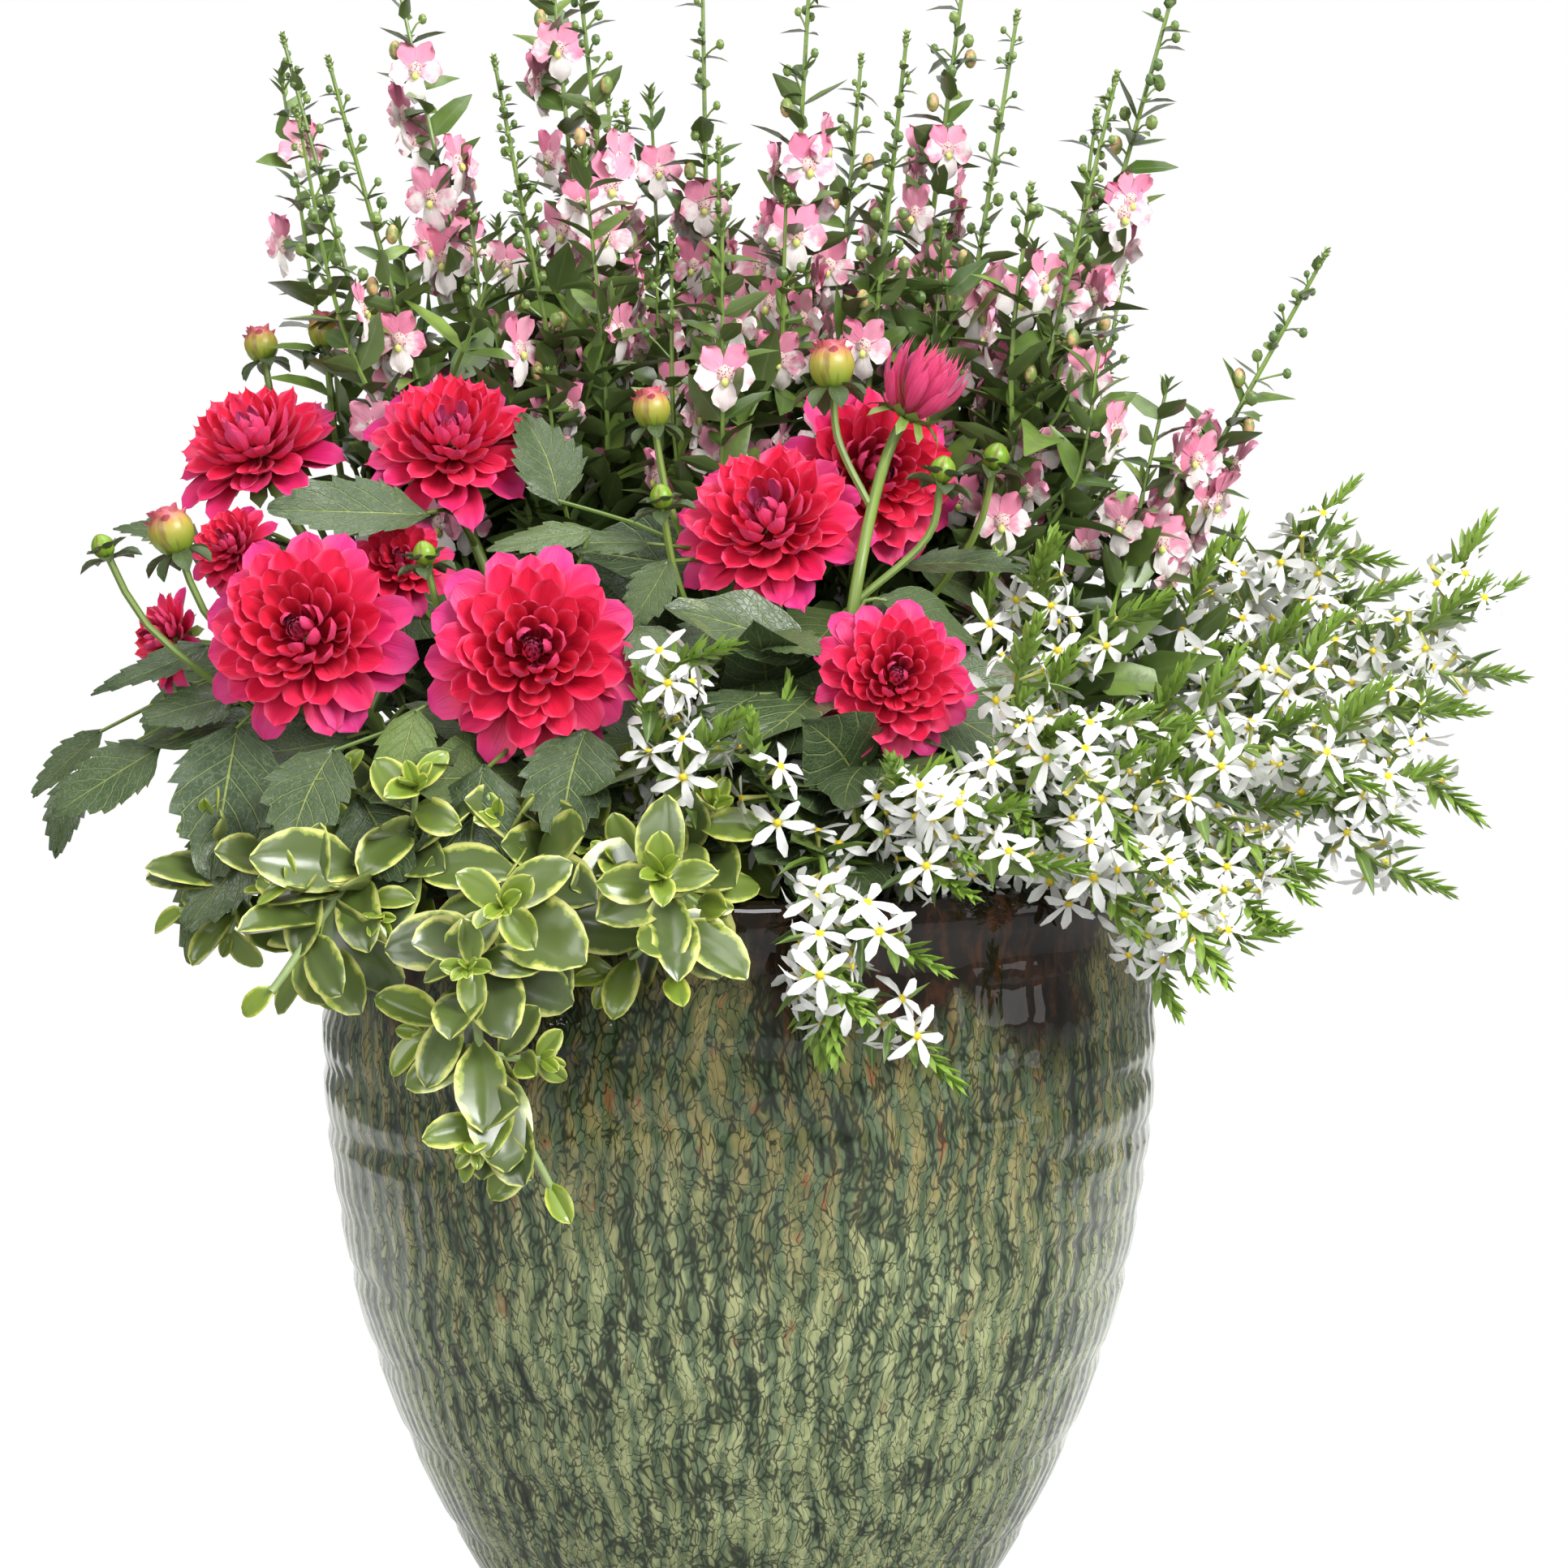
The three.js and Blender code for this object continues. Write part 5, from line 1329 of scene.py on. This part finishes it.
for number, (base, tip, (start, stop, flowers)) in enumerate(ANGELONIAS):
    foot, end = np.array([*base, SOIL_TOP], float), np.array(tip, float)
    low = foot + (end - foot) * 0.3
    low[2] = foot[2] + (end[2] - foot[2]) * 0.36
    node = f"angelonia_spike_{number + 1}"
    stem = Stem(base, [low, end], ANGELONIA_STEPS, ANGELONIA_STEM, node)
    plant, chance = Growth(), np.random.default_rng(300 + number)
    way = [stem.low, *stem.line.at(np.linspace(0, 1, 22))]
    plant.add(*tube(way, np.linspace(ANGELONIA_STEM * 1.15, 0.9, 23), 7), 0, 0.74)
    for i in range(flowers):
        share = start + (stop - start) * (i + 0.5) / flowers
        stand = matched(stem, share, i * 2.4 + 2.6, 0.1, FLOWER_TUBE + 0.8)
        if stand:
            angelonia_flower(plant, stand, chance)
    extra = int(flowers * 2.3) + 1
    for i in range(extra):
        share = start + (stop - start) * (i + chance.random()) / extra
        turn = i * 2.4 + 1.3 + chance.normal() * 0.2
        stand = stand_out(stem, stem.at(share), stem.along(share), turn, 0.1)
        if not hits_bloom(np.array([stand[0] + stand[1][1] * 15])):
            angelonia_flower(plant, stand, chance, chance.uniform(0.85, 1.0))
    for i in range(5):
        share = 0.2 + 0.5 * (i / 4)
        size = 50 + (36 - 50) * i / 4
        stand = matched(stem, share, i * 1.9 + number, 0.7, size, 0.28)
        if stand:
            leaf = narrow_leaf(size, size * 0.27, 0.28, chance, 0.3)
            add_blade(plant, narrow_blank, leaf, 0.6, stand, 0, chance.random() * 0.6)
    top = max(stop, 0.62)
    leaf_pairs(plant, stem, 0.04, top + 0.08, 11, 52, 22, chance)
    for i in range(6):
        share, length = chance.uniform(0.1, 0.6), chance.uniform(30, 70)
        leafy_side_shoot(plant, stem, share, i * 2.4 + number, length, chance)
    for i in range(1 if number == 15 else 3 if number in (0, 1, 14) else 5):
        height = min(tip[2] - 12, chance.uniform(650, 740) if i == 1 else chance.uniform(540, 680))
        buds = i == 1 and number % 3 > 0
        flowering_branch(plant, stem, chance.uniform(0.15, 0.5), i * 1.26 + number, height, buds, chance)
    for i in range(number % 2 + 1):
        share = top + 0.02 + 0.05 * i
        root, axes = stand_out(stem, stem.at(share), stem.along(share), 2 + i * 2.4, 0.6)
        end = root + axes[1] * 8 - UP * 2
        plant.add(*tube([root, root + axes[1] * 5, end], [0.6, 0.5, 0.9], 4), 0, 0.7)
        plant.add(throat_ball * [3.0, 3.0, 4.6] + end + axes[1] * 2, throat_shape, 3, 1.0, 1.0)
    bud_pairs(plant, stem, top + 0.04, chance)
    finishes = [angelonia_green.material, angelonia_petal.material, throat.material, bud_green.material]
    plant.make(f"angelonia_{number + 1}", finishes, "angelonia", node)


# Fan flower shoots
# Thirteen lax leafy shoots arch over the rim on the right and front. White five-petalled flowers with
# yellow throats open along them, and each ends in a dense tuft of narrow leaves.
FAN_SHOOTS = [
    ((128, 30), (286, 20, 548), 10),
    ((138, 58), (322, 62, 503), 30),
    ((150, 4), (355, -20, 503), 18),
    ((146, -30), (330, -62, 447), 40),
    ((138, -60), (293, -112, 400), 48),
    ((122, -88), (242, -152, 375), 50),
    ((104, -112), (191, -194, 345), 52),
    ((30, -150), (42, -226, 320), 66),
    ((-4, -138), (-42, -192, 475), 0),
    ((72, -140), (96, -222, 398), 40),
    ((100, -80), (140, -190, 452), 26),
    ((110, -42), (140, -74, 520), 8),
    ((112, 96), (232, 176, 446), 60),
]
FAN_STEM = 1.7
FAN_STEPS = 7
FAN_REACH = 15
FAN_BRUSH = 40
fan_petal_blank = blade_blank(2, 3)


def fan_petal(turn, reach, width, curl):
    way, across = np.array([math.cos(turn), math.sin(turn)]), np.array([-math.sin(turn), math.cos(turn)])

    def form(u, v):
        half = width / 2 * np.interp(v, [0, 0.3, 0.7, 0.92, 1], [0.4, 0.75, 1, 0.8, 0.3])
        r = 1.2 + (reach - 1.2) * v
        lift = 0.20 * reach * v - curl * reach * v**2 + 0.22 * half * u**2
        flat = r[:, None] * way + (u * half)[:, None] * across
        return np.stack([flat[:, 0], lift, flat[:, 1]], -1)

    return form


def fan_flower(plant, stand, chance, scale=1.0):
    """Five narrow white petals round a yellow eye, on a slim tube."""
    root, axes = stand
    middle = root + axes[1] * FLOWER_TUBE * scale
    first = chance.uniform(-20, 20)
    for degrees in (-90, -26, 40, 140, 206):
        turn = math.radians(first + degrees + chance.normal() * 6)
        reach = FAN_REACH * scale * chance.uniform(0.86, 1.06)
        form = fan_petal(turn, reach, 5.0 * scale, chance.uniform(-0.05, 0.5))
        add_blade(plant, fan_petal_blank, form, 0.45, (middle, axes), 1, chance.random(), 0.0)
    eye = bead[:, [0, 2, 1]] * [1.8, 1.2, -1.8] * scale
    plant.add(put(eye, (middle, axes)), bead_shape, 1, 0.5, 1.0)
    line = [root, root + axes[1] * 5 * scale, middle]
    plant.add(*tube(line, np.array([0.7, 0.9, 1.5]) * scale, 4), 2, chance.random())


def fan_leaf(plant, twig, at, along, turn, lean, long, wide, arch, tint, chance):
    stand = stand_out(twig, at, along, turn, lean)
    points = put(blade(small_blank, narrow_leaf(long, wide, arch, chance, 0.0, 0.6), 0.7), stand)
    if not hits_bloom(points) and not hits_pot(points):
        plant.add(points, small_blank, 0, tint, 0.5)


def fan_brush(plant, twig, chance, length=FAN_BRUSH):
    """The dense brush of young leaves at the end of a shoot."""
    share = min(0.7, length / twig.line.length)
    count = int(31 * length / FAN_BRUSH)
    for i in range(count):
        part = i / (count - 1)
        here = 1 - share * (1 - part)
        long = (15 - 6 * part) * chance.uniform(0.85, 1.15)
        lean = 0.9 + 1.8 * part
        at, along = twig.at(here), twig.along(here)
        tint = 0.6 + 0.4 * part
        fan_leaf(plant, twig, at, along, i * GOLDEN_TURN, lean, long, long * 0.33, -0.12, tint, chance)


def fan_growth(plant, twig, first, flowers, chance):
    """Darker leaves and flowers along a shoot, below its brush."""
    last = max(0.3, 1 - 0.75 * FAN_BRUSH / twig.line.length)
    leaves = int((last - first) * twig.line.length / 4.8)
    for i in range(leaves):
        share = first + (last - first) * i / leaves
        long = chance.uniform(15, 28)
        at, along = twig.at(share), twig.along(share)
        lean, arch = chance.uniform(0.2, 1.2), chance.uniform(-0.1, 0.3)
        tint = chance.random() * 0.55
        fan_leaf(plant, twig, at, along, i * GOLDEN_TURN + 1, lean, long, long * 0.26, arch, tint, chance)
    for i in range(flowers):
        share = first + (last + 0.05 - first) * (0.15 + 0.85 * (i + chance.random()) / flowers)
        stand = stand_out(twig, twig.at(share), twig.along(share), i * GOLDEN_TURN, chance.uniform(0.15, 0.8))
        face = stand[0] + stand[1][1] * np.array([[8], [14]])
        if not hits_bloom(face, 1.1) and not hits_pot(face):
            fan_flower(plant, stand, chance, chance.uniform(0.82, 1.05))


fan_green = Finish("fan_flower_green", Roughness=0.45)
way = fan_green.grain()
across, along, _ = fan_green.split(way)
off_rib = fan_green.off_middle(across)
tint = fan_green.number("tint")
green = fan_green.mix(fan_green.fit(tint, 0.0, 0.6), (0.050, 0.095, 0.020), (0.17, 0.27, 0.04))
green = fan_green.mix(fan_green.fit(tint, 0.6, 1.0), green, (0.23, 0.38, 0.045))
green = fan_green.mix(fan_green.fit(off_rib, 0.03, 0.12, 0.5, 0.0), green, (0.30, 0.40, 0.12))
mottle = fan_green.noise(fan_green.place(), 220.0, 3.0)
mottle = fan_green.fit(mottle, 0.4, 0.7, 0.0, 0.3)
fan_green.shine(Base_Color=fan_green.mix(mottle, green, (0.06, 0.11, 0.03)))

fan_white = Finish("fan_flower_white", Roughness=0.55, Specular_IOR_Level=0.3)
way = fan_white.grain()
across, along, _ = fan_white.split(way)
nerves = fan_white.noise(fan_white.stretch(way, (14.0, 1.4, 1.0)), 1.0, 2.0)
white = fan_white.mix(fan_white.fit(nerves, 0.45, 0.75), (0.86, 0.86, 0.84), (0.70, 0.71, 0.69))
white = fan_white.mix(fan_white.fit(along, 0.0, 0.16, 1.0, 0.0), white, (0.66, 0.62, 0.20))
fan_white.shine(Base_Color=fan_white.mix(fan_white.number("rank"), white, (0.80, 0.60, 0.03)))
fan_white.shine(Normal=fan_white.bump(nerves, 0.0004, 0.5))

fan_tube_green = Finish("fan_flower_tube", Roughness=0.5)
tube_tint = fan_tube_green.number("tint")
tube_colour = fan_tube_green.mix(tube_tint, (0.34, 0.38, 0.09), (0.50, 0.48, 0.14))
grain = fan_tube_green.noise(fan_tube_green.place(), 300.0, 2.0)
grain = fan_tube_green.fit(grain, 0.5, 0.7, 0.0, 0.4)
fan_tube_green.shine(Base_Color=fan_tube_green.mix(grain, tube_colour, (0.2, 0.28, 0.05)))

for number, (base, tip, bow) in enumerate(FAN_SHOOTS):
    foot, end = np.array([*base, SOIL_TOP], float), np.array(tip, float)
    low = foot + (end - foot) * 0.3 + UP * bow * 0.84
    middle = foot + (end - foot) * 0.6 + UP * bow * 0.96
    node = f"fan_flower_shoot_{number + 1}"
    stem = Stem(base, [low, middle, end], FAN_STEPS, FAN_STEM, node)
    plant, chance = Growth(), np.random.default_rng(400 + number)
    way = [stem.low, *stem.line.at(np.linspace(0, 1, 26))]
    plant.add(*tube(way, np.linspace(FAN_STEM * 1.15, 1.0, 27), 6), 0, 0.62)
    flowers = round(stem.line.length / 73)
    for i in range(flowers):
        stand = matched(stem, 0.42 + 0.46 * (i + 0.5) / flowers, i * 2.4 + number, 0.35, FLOWER_TUBE + 0.8)
        if stand:
            fan_flower(plant, stand, chance)
    fan_growth(plant, stem, 0.14, int(stem.line.length / 18), chance)
    fan_brush(plant, stem, chance)
    shoots = 4 + int(stem.line.length / 38)
    for i in range(shoots):
        share = 0.16 + 0.72 * (i + 0.6 * chance.random()) / shoots
        at, along = stem.at(share), stem.along(share)
        root, axes = stand_out(stem, at, along, i * GOLDEN_TURN + number, chance.uniform(0.6, 1.4))
        long = chance.uniform(46, 92) * (1.15 - 0.4 * share)
        lift = chance.uniform(-0.6, 0.2) if at[1] < -120 else chance.uniform(-0.15, 0.4)
        end = root + unit(axes[1] + UP * lift + [0.25, 0, 0]) * long
        twig = Twig([root, root + axes[1] * long * 0.5, end], 1.0)
        check = twig.line.at(np.linspace(0.25, 1, 9))
        if hits_bloom(check, 1.1) or hits_pot(check) or end[0] > 372:
            continue
        plant.add(*tube(twig.line.at(np.linspace(0, 1, 6)), np.linspace(1.2, 0.8, 6), 5), 0, 0.65)
        fan_growth(plant, twig, 0.1, 6 if at[1] < -100 else 5, chance)
        fan_brush(plant, twig, chance, 30)
    finishes = [fan_green.material, fan_white.material, fan_tube_green.material]
    plant.make(f"fan_flower_{number + 1}", finishes, "fan_flower", node)


# Ice plant shoots
# Four fleshy trailing shoots lie over the lip at the front left. Their glossy oval leaves stand in pairs,
# grey green with a cream yellow margin, and lime green when young.
ICE_SHOOTS = [
    ((-118, -96), [(-138, -112, 386), (-182, -138, 396)], (-236, -152, 368), 3),
    ((-96, -112), [(-112, -132, 388), (-150, -178, 394)], (-190, -208, 342), 4),
    ((-66, -128), [(-72, -150, 390), (-92, -206, 386), (-104, -226, 330)], (-74, -222, 262), 6),
    ((-22, -136), [(-24, -158, 390), (-28, -206, 388)], (-24, -228, 350), 3),
]
ICE_STEM = 2.2
ICE_STEPS = 9
LOOSE_LEAVES = 24
SPRIGS = 9
fleshy_blank = blade_blank(6, 8)


def fleshy_leaf(length, width, arch, chance, cup=0.35):
    skew = chance.normal() * 0.06

    def form(u, v):
        v = 1 - (1 - v) ** 1.25
        body = np.interp(v, [0, 0.08, 0.25, 0.5, 0.75, 0.92, 1], [0.16, 0.28, 0.78, 1, 0.92, 0.55, 0.10])
        half = width / 2 * body
        x = u * half + skew * length * v**2
        crease = -0.5 * np.exp(-((u / 0.12) ** 2))
        return np.stack([x, v * length, crease - arch * length * v**2 + cup * half * np.abs(u) ** 1.8], -1)

    return form


def fleshy(plant, stand, size, width, arch, chance, young):
    root, axes = stand
    outward = UP * 0.6 + unit(root * [1, 1, 0]) * 0.7 + np.array([0, -0.35, 0])
    stand = set_at(root, axes[1], outward + chance.normal(size=3) * 0.25)
    form = fleshy_leaf(size, width, arch, chance, chance.uniform(0.1, 0.5))
    points = put(blade(fleshy_blank, form, min(2.6, 0.06 * size + 0.5)), stand)
    if hits_pot(points) or hits_bloom(points):
        return
    plant.add(points, fleshy_blank, 0, chance.random(), min(1, young))


def ice_sprig(plant, stem, share, turn, length, size, chance):
    """A side sprig: leaves in crossed pairs, ending in a small lime-green rosette."""
    at, along = stem.at(share), stem.along(share)
    root, axes = stand_out(stem, at, along, turn, 0.6)
    end = root + axes[1] * length + UP * length * 0.15
    twig = Twig([root, (root + end) / 2 - UP * 1.5, end], 1.5)
    if hits_pot(twig.line.at(np.linspace(0.5, 1, 4))):
        return
    plant.add(*tube(twig.line.at(np.linspace(0, 1, 5)), [1.9, 1.7, 1.6, 1.5, 1.3], 6), 1, 0.7)
    for pair in range(3):
        here = 0.35 + 0.3 * pair
        for half in (0, math.pi):
            quarter = pair * 1.57 + half + turn
            stand = stand_out(twig, twig.at(here), twig.along(here), quarter, 0.35 + 0.25 * pair)
            long = size * (1 - 0.22 * pair) * chance.uniform(0.85, 1.1)
            width, arch = long * chance.uniform(0.56, 0.64), chance.uniform(0, 0.3)
            fleshy(plant, stand, long, width, arch, chance, 0.25 + 0.3 * pair)
    for k in range(4):
        stand = stand_out(twig, twig.at(1), twig.along(0.97), k * 1.57 + 0.6, 1.1 + 0.5 * (k % 2))
        long = size * chance.uniform(0.28, 0.42)
        fleshy(plant, stand, long, long * 0.55, 0.0, chance, 1.0)


ice_leaf = Finish("ice_plant_leaf", Roughness=0.3, Specular_IOR_Level=0.5)
ice_leaf.shine(Coat_Weight=0.3, Coat_Roughness=0.15)
way = ice_leaf.grain()
across, along, _ = ice_leaf.split(way)
edge = ice_leaf.times(ice_leaf.off_middle(across), 2.0)
ends = ice_leaf.fit(along, 0.88, 1.0, 0.0, 0.35)
ragged = ice_leaf.noise(ice_leaf.place(), 90.0, 3.0, 0.6)
margin = ice_leaf.plus(ice_leaf.plus(edge, ends), ice_leaf.fit(ragged, 0.3, 0.7, -0.12, 0.14))
young = ice_leaf.number("rank")
heart_green = ice_leaf.mix(ice_leaf.number("tint"), (0.030, 0.050, 0.020), (0.078, 0.106, 0.042))
heart_green = ice_leaf.mix(young, heart_green, (0.20, 0.29, 0.032))
heart_green = ice_leaf.mix(ice_leaf.fit(ragged, 0.5, 0.75, 0.0, 0.5), heart_green, (0.115, 0.150, 0.068))
pale_band = ice_leaf.mix(young, (0.24, 0.30, 0.06), (0.36, 0.44, 0.05))
cream = ice_leaf.mix(young, (0.56, 0.56, 0.19), (0.56, 0.58, 0.12))
leaf_colour = ice_leaf.mix(ice_leaf.fit(margin, 0.74, 0.86), heart_green, pale_band)
leaf_colour = ice_leaf.mix(ice_leaf.fit(margin, 0.87, 0.96), leaf_colour, cream)
facing = ice_leaf.upper_side(0.55, 0.0)
ice_leaf.shine(Base_Color=ice_leaf.mix(facing, leaf_colour, (0.26, 0.31, 0.10)))
ice_leaf.shine(Normal=ice_leaf.bump(ragged, 0.0006, 0.3))

ice_stalk = Finish("ice_plant_stem", Roughness=0.4)
pale_green = ice_stalk.mix(ice_stalk.number("tint"), (0.24, 0.34, 0.13), (0.36, 0.45, 0.18))
lines = ice_stalk.noise(ice_stalk.place(), 180.0, 2.0)
lines = ice_stalk.fit(lines, 0.4, 0.7, 0.0, 0.4)
ice_stalk.shine(Base_Color=ice_stalk.mix(lines, pale_green, (0.16, 0.23, 0.09)))

for number, (base, over, tip, pairs) in enumerate(ICE_SHOOTS):
    node = f"ice_plant_shoot_{number + 1}"
    stem = Stem(base, [*over, tip], ICE_STEPS, ICE_STEM, node)
    plant, chance = Growth(), np.random.default_rng(500 + number)
    way = [stem.low, *stem.line.at(np.linspace(0, 1, 30))]
    plant.add(*tube(way, np.linspace(ICE_STEM * 1.2, ICE_STEM * 0.8, 31), 8), 1, 0.5)
    for pair in range(pairs):
        share = 0.4 + 0.57 * (pair + 0.5) / pairs
        size = 48 + (22 - 48) * pair / pairs
        for side in (0, math.pi):
            stand = matched(stem, share, side + (pair % 2) * 1.2 + 0.3, 0.35, size, 0.15)
            if stand:
                fleshy(plant, stand, size, size * 0.58, 0.15, chance, 0.7 * pair / pairs)
    for i in range(3):
        stand = matched(stem, 0.985, (0, 2.1, 4.2)[i], 1.3, 20, 0.1)
        if stand:
            fleshy(plant, stand, 20, 11, 0.1, chance, 1.0)
    for i in range(LOOSE_LEAVES):
        share = 0.10 + 0.75 * chance.random()
        size = chance.uniform(38, 60) * (1.1 - 0.4 * share)
        stand = stand_out(stem, stem.at(share), stem.along(share), i * GOLDEN_TURN, chance.uniform(0.2, 1.4))
        width, arch = size * chance.uniform(0.54, 0.64), chance.uniform(0.0, 0.3)
        fleshy(plant, stand, size, width, arch, chance, chance.random() * 0.3)
    for i in range(SPRIGS):
        share = 0.16 + 0.74 * i / SPRIGS
        ice_sprig(plant, stem, share, i * 2.4 + 0.6, chance.uniform(20, 42), chance.uniform(26, 40), chance)
    plant.make(f"ice_plant_{number + 1}", [ice_leaf.material, ice_stalk.material], "ice_plant", node)


# Studio
# A grey floor with a painted glow, so that it shows pale: the glow is brightest behind the pot and fades in
# front and at its far sides.
# It lies under soft daylight boxes, seen from the height of the flowers. The air behind the pot is the
# brightest, so that the glaze mirrors it only at its edges.
bpy.ops.object.select_all(action="DESELECT")
bpy.ops.mesh.primitive_circle_add(vertices=96, radius=2.3, fill_type="NGON", location=(0, 0, -0.0002))
floor = bpy.context.object
floor.name = "studio_floor"
floor_paint_and_glow = Finish("studio_floor_paint", Base_Color=(0.24, 0.24, 0.24), Roughness=0.9)
# The floor glows as a painted light: full behind the pot, faint in front and toward its far sides.
floor_paint_and_glow.shine(Emission_Color=(1.0, 1.0, 1.0))
floor_across, floor_along, _ = floor_paint_and_glow.split(floor_paint_and_glow.place())
glow_fading_at_sides = floor_paint_and_glow.fit(floor_paint_and_glow.unsigned(floor_across), 0.88, 1.05, 1.0, 0.12)
glow_behind_pot = floor_paint_and_glow.fit(floor_along, -0.1, 0.2, 0.13, 1.0)
floor_paint_and_glow.shine(Emission_Strength=floor_paint_and_glow.times(glow_fading_at_sides, glow_behind_pot))
floor.data.materials.append(floor_paint_and_glow.material)

world = bpy.data.worlds.new("studio_air")
world.use_nodes = True
air = world.node_tree
backdrop = air.nodes["Background"]
direction = air.nodes.new("ShaderNodeTexCoord")
parts = air.nodes.new("ShaderNodeSeparateXYZ")
fall = air.nodes.new("ShaderNodeMapRange")
fall.interpolation_type = "SMOOTHSTEP"
for name, value in (("From Min", 0.80), ("From Max", 0.97), ("To Min", 0.26), ("To Max", 1.0)):
    fall.inputs[name].default_value = value
seen = air.nodes.new("ShaderNodeLightPath")
brightest = air.nodes.new("ShaderNodeMath")
brightest.operation = "MAXIMUM"
air.links.new(direction.outputs["Generated"], parts.inputs[0])
air.links.new(parts.outputs["Y"], fall.inputs["Value"])
air.links.new(fall.outputs[0], brightest.inputs[0])
air.links.new(seen.outputs["Is Camera Ray"], brightest.inputs[1])
air.links.new(brightest.outputs[0], backdrop.inputs["Strength"])
backdrop.inputs["Color"].default_value = (1.0, 1.0, 1.0, 1.0)
bpy.context.scene.world = world


def softbox(name, place, aim, size, watts):
    lamp = bpy.data.lights.new(name, "AREA")
    lamp.shape = "RECTANGLE"
    lamp.size, lamp.size_y = size
    lamp.energy = watts
    holder = bpy.data.objects.new(name, lamp)
    holder.location = place
    holder.rotation_euler = (Vector(aim) - Vector(place)).to_track_quat("-Z", "Y").to_euler()
    bpy.context.scene.collection.objects.link(holder)


softbox("key_softbox", (1.35, -1.75, 1.9), (0.0, 0.0, 0.42), (1.3, 0.9), 84)
softbox("fill_softbox", (-1.6, -1.6, 1.3), (0.0, 0.0, 0.4), (1.0, 1.2), 19)
softbox("side_panel", (2.2, -0.7, 0.8), (0.0, 0.0, 0.3), (1.0, 1.4), 5)
softbox("low_strip", (0.0, -1.85, 0.80), (0.0, 0.0, 0.35), (2.6, 0.14), 10)
softbox("top_softbox", (0.0, -0.1, 2.4), (0.0, 0.0, 0.5), (1.8, 1.8), 38)

eye = bpy.data.cameras.new("photo_camera")
eye.lens = 85.7
eye.sensor_width = 36
eye.clip_end = 50
camera = bpy.data.objects.new("photo_camera", eye)
camera.location = (0.0208, -1.72966, 0.55828)
camera.rotation_euler = (math.radians(90 - 4.9), 0, 0)
bpy.context.scene.collection.objects.link(camera)
bpy.context.scene.camera = camera
bpy.context.scene.view_settings.view_transform = "Standard"
